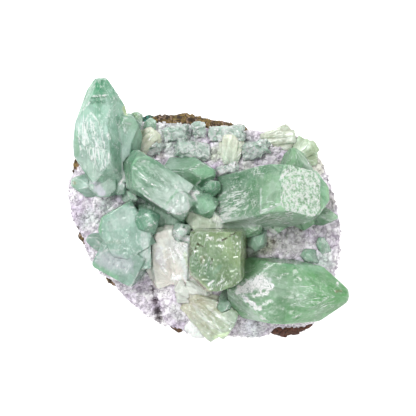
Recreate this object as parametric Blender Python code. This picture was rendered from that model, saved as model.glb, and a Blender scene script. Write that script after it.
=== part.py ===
"""Green apophyllite and cream stilbite on a drusy plate of basalt.

All sizes here are millimetres; each finished mesh is scaled to metres. The plate lies on its
sawn base with the crystals up. The origin is in the base, under the middle of the plate, +Z is
up, and +Y points the way the tall left-hand crystal does.
"""

import math
from dataclasses import dataclass

import bmesh
import bpy
from mathutils import Matrix, Vector, geometry, noise

METRES_PER_MM = 0.001
UP = Vector((0, 0, 1))

# Gap between two pieces that touch, and the size of the block that crystals are cut from.
CLEARANCE = 0.3
BLOCK = 240.0

# The plate's outline: its radius every 20 degrees, counter-clockwise from +X.
RIM_STEP = 20
RIM_RADII = (
    41.8, 40.8, 41.0, 34.4, 32.5, 34.9, 39.3, 45.0, 45.2,
    40.7, 36.8, 33.8, 33.5, 34.0, 34.7, 39.3, 45.9, 42.8,
)

# Basalt slab, from the sawn base to the level that the crust grew on.
ROCK_TOP = 9.0
ROCK_WAIST = 5.5
ROCK_OVERHANG = 1.3
ROCK_BASE_INSET = 3.4
ROCK_ROUGHNESS = 0.9
ROCK_POINT_SPACING = 6.0

# Points round each ring of the plate's sides.
RIM_TURNS = 72

# Spacing of the points on the flat undersides, which need few.
UNDERSIDE_POINT_SPACING = 14.0

# White drusy crust over the basalt.
CRUST_TOP = 13.6
CRUST_RIM_DROP = 2.9
CRUST_RIM_WIDTH = 6.0
CRUST_SWELL = 1.1
CRUST_LUMP = 0.75
CRUST_POINT_SPACING = 3.57

# Stretches of the rim where the crust is broken back and bare rock shows: middle and half
# width of each in degrees, and how far the crust is set back.
BARE_RIMS = (
    (95, 26, 2.4), (307, 4.5, 3.2), (315, 1.8, 1.6), (186, 3, 1.3),
    (211, 3, 1.3), (153, 4, 2.0), (254, 3, 1.6),
)

# A face along a prism edge that is this far from the axis cuts nothing off.
NO_EDGE_FACE = BLOCK

# Apophyllite's pyramid faces lean this far from its long axis, over the prism's edges.
PYRAMID_LEAN = math.radians(29.5)

# No crystal's root goes below this level, so that crust is left under it.
ROOT_FLOOR = 10.6


@dataclass(frozen=True)
class Crystal:
    """A four-sided prism from root to tip, closed by pyramid faces and a flat end."""

    tip: tuple
    root: tuple
    width: float
    depth: float
    roll: float = 0.0
    caps: tuple = (1.0,)  # from the axis to where each pyramid face meets the end face
    edges: tuple = (NO_EDGE_FACE,)  # from the axis to a narrow face along each prism edge
    foot: float = 0.0  # the same at the root; 0 leaves the root square
    shoulder: float = 1.0  # share of the length at which the prism starts to lean in
    taper: float = 0.0  # how far it leans in above the shoulder, degrees
    more: tuple = ()  # further faces: a point on each, and the way it points


# ---------------------------------------------------------------- apophyllite

# Crystals that grew through each other stand in one cluster and are one solid. The clusters
# are in the order they grew: a later one stops against an earlier one where they meet.
APOPHYLLITE = {
    "apophyllite_olive_centre": (
        Crystal(
            (2.6, -9.7, 33), (4.6, -9.4, 12), 18.4, 16.0, -9,
            caps=(9.9, 10.1, 9.9, 6.9), edges=(9.3, 11.6, 11.2, 8.4), shoulder=0.6, taper=4,
            more=(((1.7, -19.4, 20), (0.39, -0.92, 0.0)),),
        ),
    ),
    "apophyllite_right_block": (
        Crystal(
            (27.5, 10.8, 33), (9.7, 6.6, 12), 15.0, 17.0, -20,
            caps=(8.4, 9.0, 8.6, 8.8), shoulder=0.7, taper=4,
        ),
        Crystal((26.0, 23.4, 23), (27.6, 10.8, 12), 9.0, 8.0, 40, caps=(0.7,)),
        Crystal((20.7, -1.4, 19), (22.8, 6.3, 13), 8.5, 7.5, 20, caps=(1.2,)),
        Crystal((40.0, 2.9, 16.5), (30.8, 4.0, 13), 4.6, 4.4, 45, caps=(0.5,)),
        Crystal((16.6, 0.4, 20), (1.8, 1.2, 14), 6.4, 6.0, 30, caps=(1.5,)),
        Crystal((29.4, 0.6, 17), (30.0, 6.2, 12.5), 7.0, 6.0, 12, caps=(2.2,)),
        Crystal((30.2, 10.6, 28.8), (13.4, 6.2, 8.0), 13.4, 16.6, -15, caps=(7.2,)),
        Crystal((-0.4, 1.6, 20.4), (0.2, 2.0, 11.0), 12.6, 8.6, 6, caps=(5.4,)),
    ),
    "apophyllite_lower_left": (
        Crystal(
            (-24.0, -1.5, 26), (-24.7, -0.9, 11), 13.0, 14.6, -19,
            caps=(8.0, 7.3, 7.3, 8.0), edges=(NO_EDGE_FACE, 8.0, 8.4, NO_EDGE_FACE),
        ),
        Crystal((-26.2, -10.4, 24.4), (-23.5, -8.5, 11), 13.9, 9.9, 27, caps=(7.6,)),
        Crystal((-36.2, -3.6, 16), (-30.8, -4.9, 13.5), 4.8, 4.4, 30, caps=(0.8,)),
        Crystal((-17.2, 2.4, 28.5), (-18.2, 0.8, 12), 6.8, 6.4, 15, caps=(1.8,)),
        Crystal((-20.8, -7.4, 24.8), (-20.8, -7.0, 11), 9.0, 9.8, 0, caps=(6.3,)),
    ),
    "apophyllite_upper_middle": (
        Crystal(
            (-23.9, 18.6, 24.4), (-8.4, 8.4, 19), 10.8, 15.0, 6,
            caps=(6.6, 6.2, 6.2, 3.6), more=(((-24.0, 12.0, 20), (-0.96, -0.08, 0.26)),),
        ),
        Crystal((-8.1, 7.4, 27.5), (-7.8, 5.8, 12), 7.6, 7.6, 45, caps=(2.9,)),
        Crystal((2.6, 16.3, 20.5), (-11.5, 16.4, 14), 7.4, 7.0, 35, caps=(1.0,)),
        Crystal((3.6, 13.0, 21.5), (-2.6, 9.6, 14), 4.6, 4.6, 20, caps=(0.9,)),
        Crystal((-0.3, 7.0, 23.5), (-1.2, 5.6, 12), 7.2, 6.6, 12, caps=(2.6,)),
        Crystal((-13.2, 2.6, 18.6), (-12.6, 4.4, 11.0), 9.0, 15.0, -62, caps=(5.6,)),
        Crystal((-3.4, 10.4, 23.6), (-4.6, 8.6, 12), 5.4, 5.0, 30, caps=(1.2,)),
    ),
    "apophyllite_left_point": (
        Crystal(
            (-31.6, 43.8, 26), (-30.8, 13.4, 13.5), 13.2, 13.0, -28,
            caps=(1.0, 1.3, 2.4, 1.4), foot=3.5, shoulder=0.42, taper=7,
        ),
        Crystal((-23.4, 33.4, 22), (-26.3, 15.9, 13.5), 8.2, 7.6, -20, caps=(1.8,)),
        Crystal((-20.6, 34.4, 19.5), (-22.4, 27.4, 16), 3.8, 3.6, 10, caps=(1.0,)),
        Crystal((-31.2, 12.2, 18.5), (-30.4, 14.6, 11), 8.2, 6.8, 20, caps=(3.4,)),
        Crystal((-40.8, 13.6, 15.8), (-33.6, 12.6, 13), 5.8, 5.2, 42, caps=(1.1,)),
        Crystal((-25.8, 10.6, 17.4), (-27.0, 15.0, 12.5), 4.8, 4.4, 35, caps=(1.1,)),
    ),
    "apophyllite_lower_right_point": (
        Crystal(
            (42.7, -20.5, 21), (6.9, -18.2, 15.5), 18.7, 15.0, 3,
            caps=(1.5,), foot=4.0, shoulder=0.5, taper=5,
        ),
    ),
    "apophyllite_inner_pair": (
        Crystal((-7.6, -1.4, 23.6), (-6.6, -2.0, 12.5), 5.4, 5.0, 25, caps=(1.3,)),
        Crystal((-4.9, -3.8, 22.4), (-5.6, -3.2, 12.5), 4.4, 4.2, 50, caps=(1.1,)),
    ),
    "apophyllite_left_gap": (
        Crystal((-21.2, 8.4, 17), (-24.4, 9.8, 12.5), 3.6, 3.4, 20, caps=(0.7,)),
    ),
    "apophyllite_top_rim": (
        Crystal((-16.6, 32.6, 15.0), (-17.8, 28.6, 12), 3.4, 3.2, 25, caps=(1.1,)),
    ),
    "apophyllite_lower_gap": (
        Crystal((4.6, -25.2, 17.5), (7.6, -20.4, 13), 4.2, 3.8, 30, caps=(0.8,)),
    ),
    "apophyllite_centre_gap": (
        Crystal((14.6, -5.6, 18.5), (16.2, -2.2, 12), 5.2, 4.8, 30, caps=(1.4,)),
    ),
    "apophyllite_right_gap": (
        Crystal((29.6, -8.2, 15.6), (33.4, -9.6, 12), 4.0, 3.6, 30, caps=(1.0,)),
    ),
    "apophyllite_right_rim": (
        Crystal((34.6, -3.6, 15.5), (36.6, -7.6, 12), 3.2, 3.0, 10, caps=(0.8,)),
    ),
}

# Low, etched crystals half sunk in the crust along the plate's upper edge.
ETCHED = {
    "apophyllite_etched_1": Crystal((-13.8, 25.8, 15.6), (-17.6, 22.6, 12.5), 4.4, 4.0, 30, caps=(1.4,)),
    "apophyllite_etched_2": Crystal((-5.4, 29.0, 15), (-13.0, 28.0, 12.5), 4.8, 4.4, 15, caps=(2.4,)),
    "apophyllite_etched_3": Crystal((-2.4, 31.4, 15), (-2.2, 27.4, 12.5), 4.4, 4.2, 10, caps=(2.0,)),
    "apophyllite_etched_4": Crystal((-9.4, 24.4, 16.5), (0.8, 22.6, 13), 5.6, 5.2, 20, caps=(2.8,)),
    "apophyllite_etched_5": Crystal((11.8, 28.8, 14.8), (0.8, 28.2, 12.5), 4.8, 4.4, 10, caps=(2.4,)),
    "apophyllite_etched_6": Crystal((19.2, 24.6, 16.2), (11.0, 23.2, 13), 5.0, 4.8, 25, caps=(1.8,)),
    "apophyllite_etched_7": Crystal((9.3, 18.5, 18.6), (3.3, 16.7, 14), 3.0, 2.8, 8, caps=(1.2,)),
}


# ---------------------------------------------------------------- stilbite

# A blade of a sheaf is turned about its own length by up to this many degrees.
BLADE_LEAN = 24


@dataclass(frozen=True)
class Sheaf:
    """Thin blades that spread in a fan from one root."""

    root: tuple
    heading: float  # middle of the fan, degrees counter-clockwise from +X
    spread: float  # from the first blade to the last, degrees
    rise: float  # how far the blades point up, degrees
    blades: int
    length: float
    width: float
    thickness: float


STILBITE = {
    "stilbite_centre_sheaf": Sheaf((-10.4, -16.6, 13.0), 90, 52, 28, 8, 18.0, 10.4, 3.2),
    "stilbite_lower_fan": Sheaf((-5.6, -22.6, 13.6), -29, 40, 12, 7, 16.0, 5.8, 2.4),
    "stilbite_white_lobe": Sheaf((-1.9, -26.8, 13.0), -96, 44, 8, 5, 7.0, 3.8, 1.8),
    "stilbite_grey_fan": Sheaf((0.4, -22.0, 13.4), 152, 40, 16, 5, 10.6, 4.4, 2.2),
    "stilbite_upper_left": Sheaf((-21.0, 23.4, 13.0), 42, 24, 22, 4, 8.6, 4.6, 2.4),
    "stilbite_upper_middle": Sheaf((7.2, 19.4, 13.0), 84, 26, 18, 4, 9.0, 4.4, 2.2),
    "stilbite_upper_right": Sheaf((17.4, 26.4, 12.0), 8, 30, 12, 5, 10.0, 3.6, 1.7),
    "stilbite_right_rim": Sheaf((26.6, 20.6, 12.0), 32, 60, 12, 5, 8.4, 3.6, 1.5),
}


def blades_of(sheaf):
    """The sheaf's blades as flat crystals, the middle ones longest and highest."""
    blades = []
    for number in range(sheaf.blades):
        share = number / (sheaf.blades - 1) - 0.5
        heading = math.radians(sheaf.heading + sheaf.spread * share)
        rise = math.radians(sheaf.rise * (1 - abs(share)))
        length = sheaf.length * (1 - 0.5 * share * share) * (0.94 if number % 2 else 1.0)
        along = Vector((math.cos(heading), math.sin(heading), 0)) * math.cos(rise)
        along += UP * math.sin(rise)
        tip = Vector(sheaf.root) + along * length
        lean = BLADE_LEAN * math.sin(math.radians(97 * number))
        blades.append(
            Crystal(
                tuple(tip), sheaf.root, sheaf.width, sheaf.thickness, lean,
                caps=(sheaf.width * 0.34,),
            )
        )
    return blades


# ---------------------------------------------------------------- shapes


def rim_radius(angle):
    """The plate's radius at an angle in degrees, on a smooth closed curve through RIM_RADII."""
    count = len(RIM_RADII)
    place = angle / RIM_STEP
    first = math.floor(place)
    t = place - first
    a, b, c, d = (RIM_RADII[(first + k) % count] for k in (-1, 0, 1, 2))
    return b + 0.5 * t * (c - a + t * (2 * a - 5 * b + 4 * c - d + t * (3 * (b - c) + d - a)))


def bare_set_back(angle):
    """How far the crust's edge is set back at an angle, where bare rock shows."""
    total = 0.0
    for middle, half_width, depth in BARE_RIMS:
        away = abs((angle - middle + 180) % 360 - 180)
        total += depth / (1 + math.exp((away - half_width) * 0.9))
    return total


def ripple(x, y, z, size):
    """Smooth noise between about -1 and 1 with lumps of the given size."""
    return noise.noise(Vector((x, y, z)) / size)


def crust_height(x, y):
    """The crust's upper surface: a low swell, round lumps, and a fall towards the rim."""
    angle = math.degrees(math.atan2(y, x))
    inside = rim_radius(angle) - bare_set_back(angle) - math.hypot(x, y)
    fall = max(0.0, 1 - inside / CRUST_RIM_WIDTH)
    swell = CRUST_SWELL * ripple(x, y, 0.0, 13.0)
    nearest = noise.voronoi(Vector((x, y, 3.0)) / 4.2)[0][0]
    lump = CRUST_LUMP * (1 - 2 * min(nearest, 1.0))
    return CRUST_TOP + swell + lump - CRUST_RIM_DROP * fall * fall


def lattice_inside(radius_at, spacing, margin):
    """Points of a triangular lattice that lie inside a rim, moved a little off their places."""
    points = []
    reach = max(RIM_RADII) + spacing
    rows = math.ceil(reach / (spacing * math.sqrt(3) / 2))
    columns = math.ceil(reach / spacing)
    for row in range(-rows, rows + 1):
        for column in range(-columns, columns + 1):
            x = (column + 0.5 * (row % 2)) * spacing
            y = row * spacing * math.sqrt(3) / 2
            x += 0.3 * spacing * ripple(x, y, 7.0, 2.3)
            y += 0.3 * spacing * ripple(x, y, 17.0, 2.3)
            angle = math.degrees(math.atan2(y, x))
            if math.hypot(x, y) < radius_at(angle) - margin:
                points.append(Vector((x, y)))
    return points


def slab(name, rings, top_at, bottom_at, spacing, bottom_spacing):
    """A closed plate. Each ring is (radius at an angle, height at a point), from the top down."""
    angles = [360 * k / RIM_TURNS for k in range(RIM_TURNS)]
    bm = bmesh.new()
    loops = []
    for radius_at, height_at in rings:
        loop = []
        for angle in angles:
            radius = radius_at(angle)
            x = radius * math.cos(math.radians(angle))
            y = radius * math.sin(math.radians(angle))
            loop.append(bm.verts.new((x, y, height_at(x, y))))
        loops.append(loop)
    for upper, lower in zip(loops, loops[1:]):
        for k in range(RIM_TURNS):
            after = (k + 1) % RIM_TURNS
            bm.faces.new((upper[k], lower[k], lower[after], upper[after]))
    lids = ((loops[0], rings[0][0], top_at, spacing, False),)
    lids += ((loops[-1], rings[-1][0], bottom_at, bottom_spacing, True),)
    for loop, radius_at, height_at, step, faces_down in lids:
        add_lid(bm, loop, lattice_inside(radius_at, step, 0.6 * step), height_at, faces_down)
    return finished(name, bm)


def add_lid(bm, loop, inner, height_at, faces_down):
    """Closes a ring of vertices with a triangulated surface through the inner points."""
    rim = [Vector((v.co.x, v.co.y)) for v in loop]
    edges = [(k, (k + 1) % len(rim)) for k in range(len(rim))]
    flat, _, faces, sources, *_ = geometry.delaunay_2d_cdt(rim + inner, edges, [], 1, 1e-6)
    verts = []
    for point, source in zip(flat, sources):
        if source and source[0] < len(loop):
            verts.append(loop[source[0]])
        else:
            verts.append(bm.verts.new((point.x, point.y, height_at(point.x, point.y))))
    for face in faces:
        corners = [verts[k] for k in face]
        bm.faces.new(reversed(corners) if faces_down else corners)


def finished(name, bm):
    """An object in metres from a bmesh in millimetres, with its faces pointing out."""
    bmesh.ops.recalc_face_normals(bm, faces=bm.faces)
    bmesh.ops.scale(bm, vec=[METRES_PER_MM] * 3, verts=bm.verts)
    mesh = bpy.data.meshes.new(name)
    bm.to_mesh(mesh)
    bm.free()
    obj = bpy.data.objects.new(name, mesh)
    bpy.context.scene.collection.objects.link(obj)
    return obj


def crystal_faces(crystal, clearance):
    """Each face of a crystal as a point on it and its outward normal."""
    tip, root = Vector(crystal.tip), Vector(crystal.root)
    axis = (tip - root).normalized()
    side = UP.cross(axis).normalized()
    turned = Matrix.Rotation(math.radians(crystal.roll), 3, axis)
    halves = (crystal.width / 2, crystal.depth / 2)
    faces = [(tip, axis), (root, -axis), (Vector((0, 0, ROOT_FLOOR)), -UP)]
    for quarter in range(4):
        outward = turned @ Matrix.Rotation(math.radians(90 * quarter), 3, axis) @ side
        foot_of_face = root + outward * halves[quarter % 2]
        faces.append((foot_of_face, outward))
        if crystal.taper:
            lean = math.radians(crystal.taper)
            shoulder = foot_of_face + (tip - root) * crystal.shoulder
            faces.append((shoulder, outward * math.cos(lean) + axis * math.sin(lean)))
        corner = Matrix.Rotation(math.radians(45), 3, axis) @ outward
        across, along = corner * math.cos(PYRAMID_LEAN), axis * math.sin(PYRAMID_LEAN)
        cap = crystal.caps[quarter % len(crystal.caps)]
        faces.append((tip + corner * cap, across + along))
        edge = crystal.edges[quarter % len(crystal.edges)]
        if edge < NO_EDGE_FACE:
            faces.append((root + corner * edge, corner))
        if crystal.foot:
            faces.append((root + corner * crystal.foot, across - along))
    faces += [(Vector(point), Vector(way).normalized()) for point, way in crystal.more]
    return [(point + normal * clearance, normal) for point, normal in faces]


def crystal_object(name, crystal, clearance=0.0):
    """A crystal cut from a block, one face after another."""
    bm = bmesh.new()
    bmesh.ops.create_cube(bm, size=BLOCK)
    for point, normal in crystal_faces(crystal, clearance):
        everything = bm.verts[:] + bm.edges[:] + bm.faces[:]
        cut = bmesh.ops.bisect_plane(
            bm, geom=everything, dist=1e-5, plane_co=point, plane_no=normal, clear_outer=True
        )
        rim = [part for part in cut["geom_cut"] if isinstance(part, bmesh.types.BMEdge)]
        if rim:
            bmesh.ops.edgeloop_fill(bm, edges=rim)
    return finished(name, bm)


def apply_boolean(target, other, operation):
    """Joins another object to the target or cuts it away, then removes the other object."""
    modifier = target.modifiers.new(operation.title(), "BOOLEAN")
    modifier.operation = operation
    modifier.solver = "EXACT"
    modifier.object = other
    bpy.context.view_layer.update()
    graph = bpy.context.evaluated_depsgraph_get()
    mesh = bpy.data.meshes.new_from_object(target.evaluated_get(graph))
    target.modifiers.clear()
    used_up = [target.data, other.data]
    target.data = mesh
    mesh.name = target.name
    bpy.data.objects.remove(other)
    for old in used_up:
        bpy.data.meshes.remove(old)


def boxes_meet(first, second):
    """Whether the boxes round two objects overlap."""
    corners = []
    for obj in (first, second):
        points = [v.co for v in obj.data.vertices]
        corners.append([(min(p[k] for p in points), max(p[k] for p in points)) for k in range(3)])
    return all(a[0] < b[1] and b[0] < a[1] for a, b in zip(*corners))


def keep_largest_body(obj):
    """Drops the loose splinters that a cut leaves beside the main body."""
    bm = bmesh.new()
    bm.from_mesh(obj.data)
    left, bodies = set(bm.verts), []
    while left:
        body, front = set(), [left.pop()]
        while front:
            vert = front.pop()
            body.add(vert)
            for edge in vert.link_edges:
                other = edge.other_vert(vert)
                if other in left:
                    left.discard(other)
                    front.append(other)
        bodies.append(body)
    for body in sorted(bodies, key=len)[:-1]:
        bmesh.ops.delete(bm, geom=list(body), context="VERTS")
    bm.to_mesh(obj.data)
    bm.free()


def cluster_object(name, crystals, earlier):
    """Intergrown crystals as one solid, cut back from the crystals that were there before."""
    parts = [crystal_object(f"{name}_{number}", c) for number, c in enumerate(crystals)]
    body = parts[0]
    for other in parts[1:]:
        apply_boolean(body, other, "UNION")
    body.name = name
    for crystal in earlier:
        cut_with(body, crystal)
    keep_largest_body(body)
    return body


def cut_with(body, crystal):
    """Cuts the room that a crystal takes, and the clearance round it, out of a body."""
    cutter = crystal_object("cutter", crystal, CLEARANCE)
    if boxes_meet(body, cutter):
        apply_boolean(body, cutter, "DIFFERENCE")
    else:
        bpy.data.objects.remove(cutter)


# ---------------------------------------------------------------- the plate


def basalt_matrix():
    """The slab of rock: a sawn flat base, craggy sides and a rough top."""

    def side(inset):
        def radius_at(angle):
            x, y = math.cos(math.radians(angle)), math.sin(math.radians(angle))
            crags = ROCK_ROUGHNESS * ripple(40 * x, 40 * y, 9 * inset, 5.0)
            shown = min(bare_set_back(angle), 1.4)
            return rim_radius(angle) - inset + crags + ROCK_OVERHANG * shown

        return radius_at

    def top(x, y):
        return ROCK_TOP

    def level(height):
        return lambda x, y: height + 0.8 * ripple(x, y, height, 6.0)

    rings = (
        (side(ROCK_OVERHANG + 0.9), top),
        (side(ROCK_OVERHANG), level(ROCK_TOP - 1.6)),
        (side(ROCK_OVERHANG + 0.2), level(ROCK_WAIST)),
        (side(ROCK_OVERHANG + 1.0), level(2.6)),
        (side(ROCK_BASE_INSET), lambda x, y: 0.0),
    )
    return slab("basalt_matrix", rings, top, lambda x, y: 0.0, ROCK_POINT_SPACING, UNDERSIDE_POINT_SPACING)


def drusy_crust():
    """The white crust, with its lumpy upper side and a rim that overhangs the rock."""

    def edge(inset):
        def radius_at(angle):
            x, y = math.cos(math.radians(angle)), math.sin(math.radians(angle))
            wave = 0.5 * ripple(40 * x, 40 * y, 5 * inset, 3.0)
            return rim_radius(angle) - bare_set_back(angle) - inset + wave

        return radius_at

    def underside(x, y):
        return ROCK_TOP + CLEARANCE

    rings = (
        (edge(1.4), crust_height),
        (edge(0.3), lambda x, y: crust_height(x, y) - 0.9),
        (edge(1.0), underside),
    )
    return slab(
        "drusy_crust", rings, crust_height, underside, CRUST_POINT_SPACING, UNDERSIDE_POINT_SPACING
    )


# ---------------------------------------------------------------- finishes


def add_material(objects, name, colour, roughness, transmission=0.0):
    """One Principled material on every object of a kind."""
    material = bpy.data.materials.new(name)
    material.use_nodes = True
    shader = material.node_tree.nodes["Principled BSDF"]
    shader.inputs["Base Color"].default_value = (*colour, 1.0)
    shader.inputs["Roughness"].default_value = roughness
    shader.inputs["Metallic"].default_value = 0.0
    shader.inputs["Transmission Weight"].default_value = transmission
    shader.inputs["IOR"].default_value = 1.54
    for obj in objects:
        obj.data.materials.clear()
        obj.data.materials.append(material)


def main():
    for obj in list(bpy.data.objects):
        bpy.data.objects.remove(obj)
    rock, crust = basalt_matrix(), drusy_crust()
    placed, green, pale, cream = [], [], [], []
    for name, crystals in APOPHYLLITE.items():
        green.append(cluster_object(name, crystals, placed))
        placed.extend(crystals)
    for name, sheaf in STILBITE.items():
        blades = blades_of(sheaf)
        cream.append(cluster_object(name, blades, placed))
        placed.extend(blades)
    for name, crystal in ETCHED.items():
        pale.append(cluster_object(name, [crystal], placed))
        placed.append(crystal)
    for crystal in placed:
        cut_with(crust, crystal)
    keep_largest_body(crust)
    olive = [obj for obj in green if obj.name == "apophyllite_olive_centre"]
    green = [obj for obj in green if obj not in olive]
    add_material([rock], "basalt", (0.13, 0.09, 0.06), 0.9)
    add_material([crust], "druse", (0.82, 0.79, 0.83), 0.45)
    add_material(green, "green_apophyllite", (0.42, 0.70, 0.52), 0.12, 0.6)
    add_material(olive, "olive_apophyllite", (0.38, 0.55, 0.32), 0.2, 0.4)
    add_material(pale, "pale_apophyllite", (0.72, 0.82, 0.75), 0.25, 0.4)
    add_material(cream, "stilbite", (0.80, 0.76, 0.64), 0.35, 0.2)


main()
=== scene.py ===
import math

import bmesh
import bpy
import numpy as np
from mathutils import Matrix, Vector
from mathutils.bvhtree import BVHTree


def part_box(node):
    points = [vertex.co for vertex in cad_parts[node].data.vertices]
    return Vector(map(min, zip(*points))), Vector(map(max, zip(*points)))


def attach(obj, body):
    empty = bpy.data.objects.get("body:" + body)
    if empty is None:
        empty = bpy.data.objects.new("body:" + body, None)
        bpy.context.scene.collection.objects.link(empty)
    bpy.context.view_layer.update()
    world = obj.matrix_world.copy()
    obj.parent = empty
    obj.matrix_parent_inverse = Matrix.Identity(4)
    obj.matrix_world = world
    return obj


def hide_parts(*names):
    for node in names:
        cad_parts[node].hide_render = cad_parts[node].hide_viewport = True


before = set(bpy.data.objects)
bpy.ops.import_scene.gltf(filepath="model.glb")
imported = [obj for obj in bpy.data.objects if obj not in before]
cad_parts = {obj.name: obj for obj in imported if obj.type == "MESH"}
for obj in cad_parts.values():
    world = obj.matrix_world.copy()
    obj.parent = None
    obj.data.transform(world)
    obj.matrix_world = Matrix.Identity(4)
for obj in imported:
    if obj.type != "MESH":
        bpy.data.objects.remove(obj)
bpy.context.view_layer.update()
mm = 0.001  # tables below are in millimetres
up = Vector((0, 0, 1))
noEdge = 240.0  # an edge face this far out cuts nothing off
pyramidLean = math.radians(29.5)
rootFloor = 10.6  # how high the crystals' roots are cut off level
crustCell, rockCell = 0.42, 0.4
contact = 0.26  # how far a face that stops against a neighbour is filled out towards it
print("frame loaded:", len(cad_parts), "solids")


# noise and helpers that work on whole arrays of points, in millimetres

farAway = 9.0  # further than any scattered centre, in sizes


def randomOf(cells, seed):
    mixed = cells[:, 0] * 374761393 + cells[:, 1] * 668265263 + cells[:, 2] * 1442695041 + seed * 1274126177
    mixed = (mixed ^ (mixed >> 13)) * 1103515245
    mixed = (mixed ^ (mixed >> 16)) & 0x7FFFFFFF
    return mixed / float(0x7FFFFFFF)


def lumps(points, size, seed=0):  # smooth noise from -1 to 1, with lumps of this size
    grid = points / size
    cell = np.floor(grid).astype(np.int64)
    part = grid - cell
    part = part * part * (3 - 2 * part)
    total = np.zeros(len(points))
    for corner in range(8):
        step = np.array([corner & 1, corner >> 1 & 1, corner >> 2 & 1])
        share = np.where(step, part, 1 - part).prod(axis=1)
        total += share * randomOf(cell + step, seed)
    return 2 * total - 1


def layered(points, size, layers, seed=0):
    total = np.zeros(len(points))
    for layer in range(layers):
        total += lumps(points, np.asarray(size) / 2**layer, seed + 7 * layer) / 2**layer
    return total


def pebbles(points, size, seed=0):  # distance to the nearest scattered centre, and to the next, in sizes
    grid = points / size
    cell = np.floor(grid).astype(np.int64)
    nearest = np.full(len(points), farAway)
    second = np.full(len(points), farAway)
    for shift in np.ndindex(3, 3, 3):
        corner = cell + np.array(shift) - 1
        centre = corner + np.stack([randomOf(corner, seed + k) for k in range(3)], axis=1)
        away = np.linalg.norm(grid - centre, axis=1)
        second = np.minimum(second, np.maximum(nearest, away))
        nearest = np.minimum(nearest, away)
    return nearest, second


def chips(points, size, seed=0):  # height from -1 to 1 of broken facets, each tilted its own way
    grid = points / size
    cell = np.floor(grid).astype(np.int64)
    nearest = np.full(len(points), farAway)
    height = np.zeros(len(points))
    for shift in np.ndindex(3, 3, 3):
        corner = cell + np.array(shift) - 1
        own = np.stack([randomOf(corner, seed + k) for k in range(7)], axis=1)
        offset = grid - corner - own[:, :3]
        away = np.linalg.norm(offset, axis=1)
        here = 1.8 * (offset * (own[:, 3:6] - 0.5)).sum(axis=1) + own[:, 6] - 0.5
        closer = away < nearest
        height[closer] = here[closer]
        nearest[closer] = away[closer]
    return height


def smooth(low, high, value):
    share = np.clip((value - low) / (high - low), 0, 1)
    return share * share * (3 - 2 * share)


def tone(red, green, blue):  # a colour as the eye names it, 0 to 255, made linear
    return tuple(((c / 255 + 0.055) / 1.055) ** 2.4 if c > 10 else c / 3295 for c in (red, green, blue))


def rgba(red, green, blue):
    return (*tone(red, green, blue), 1)


def coordinates(mesh):
    flat = np.empty(len(mesh.vertices) * 3, np.float32)
    mesh.vertices.foreach_get("co", flat)
    return flat.reshape(-1, 3).astype(float) / mm


def setCoordinates(mesh, points):
    mesh.vertices.foreach_set("co", (points * mm).astype(np.float32).ravel())
    mesh.update()


def normalsOf(mesh):
    flat = np.empty(len(mesh.vertices) * 3, np.float32)
    mesh.vertex_normals.foreach_get("vector", flat)
    return flat.reshape(-1, 3).astype(float)


def addAttribute(mesh, name, values):
    kind, field = {1: ("FLOAT", "value"), 3: ("FLOAT_VECTOR", "vector"), 4: ("FLOAT_COLOR", "color")}[
        1 if values.ndim == 1 else values.shape[1]
    ]
    layer = mesh.attributes.new(name, kind, "POINT")
    layer.data.foreach_set(field, values.astype(np.float32).ravel())


def colours(values):
    return np.concatenate([values, np.ones((len(values), 1))], axis=1)


def gridCopy(node, cell, rounds=3):  # the solid's shape on an even grid of small faces
    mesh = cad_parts[node].data.copy()
    bm = bmesh.new()
    bm.from_mesh(mesh)
    bmesh.ops.remove_doubles(bm, verts=bm.verts, dist=1e-6)
    bm.to_mesh(mesh)
    bm.free()
    mesh.materials.clear()
    holder = bpy.data.objects.new("holder", mesh)
    bpy.context.scene.collection.objects.link(holder)
    remesh = holder.modifiers.new("grid", "REMESH")
    remesh.mode = "VOXEL"
    remesh.voxel_size = cell * mm
    remesh.use_smooth_shade = True
    settle = holder.modifiers.new("settle", "SMOOTH")
    settle.factor = 0.5
    settle.iterations = rounds
    graph = bpy.context.evaluated_depsgraph_get()
    result = bpy.data.meshes.new_from_object(holder.evaluated_get(graph))
    bpy.data.objects.remove(holder)
    bpy.data.meshes.remove(mesh)
    return result


def dressedPiece(name, mesh, material, slot, *nodes):
    mesh.name = name
    mesh.materials.clear()
    mesh.materials.append(material)
    mesh.shade_smooth()
    piece = bpy.data.objects.new(name, mesh)
    bpy.context.scene.collection.objects.link(piece)
    if nodes:
        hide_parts(*nodes)
    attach(piece, "root")
    return piece


# materials


def setInputs(tree, node, inputs):  # a socket is linked, anything else is set as a value
    for key, value in inputs.items():
        if isinstance(value, bpy.types.NodeSocket):
            tree.links.new(value, node.inputs[key])
        else:
            node.inputs[key].default_value = value


def add(tree, kind, inputs=None, **settings):
    made = tree.nodes.new(kind)
    for setting, value in settings.items():
        setattr(made, setting, value)
    setInputs(tree, made, inputs or {})
    return made


def newMaterial(name):
    material = bpy.data.materials.new(name)
    material.use_nodes = True
    return material, material.node_tree, material.node_tree.nodes["Principled BSDF"]


def maths(tree, operation, first, second=0.0, clamp=False):
    return add(tree, "ShaderNodeMath", {0: first, 1: second}, operation=operation, use_clamp=clamp).outputs[0]


def times(tree, first, second, clamp=False):
    return maths(tree, "MULTIPLY", first, second, clamp)


def plus(tree, first, second):
    return maths(tree, "ADD", first, second)


def minus(tree, first, second):
    return maths(tree, "SUBTRACT", first, second)


def vectorMaths(tree, operation, inputs):
    return add(tree, "ShaderNodeVectorMath", inputs, operation=operation).outputs[0]


def bumped(tree, height, strength, distance):
    bump = {"Strength": strength, "Distance": distance, "Height": height}
    return add(tree, "ShaderNodeBump", bump).outputs["Normal"]


def between(tree, value, low, high, start=0.0, end=1.0):
    inputs = {"Value": value, 1: low, 2: high, 3: start, 4: end}
    return add(tree, "ShaderNodeMapRange", inputs, interpolation_type="SMOOTHSTEP").outputs[0]


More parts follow.
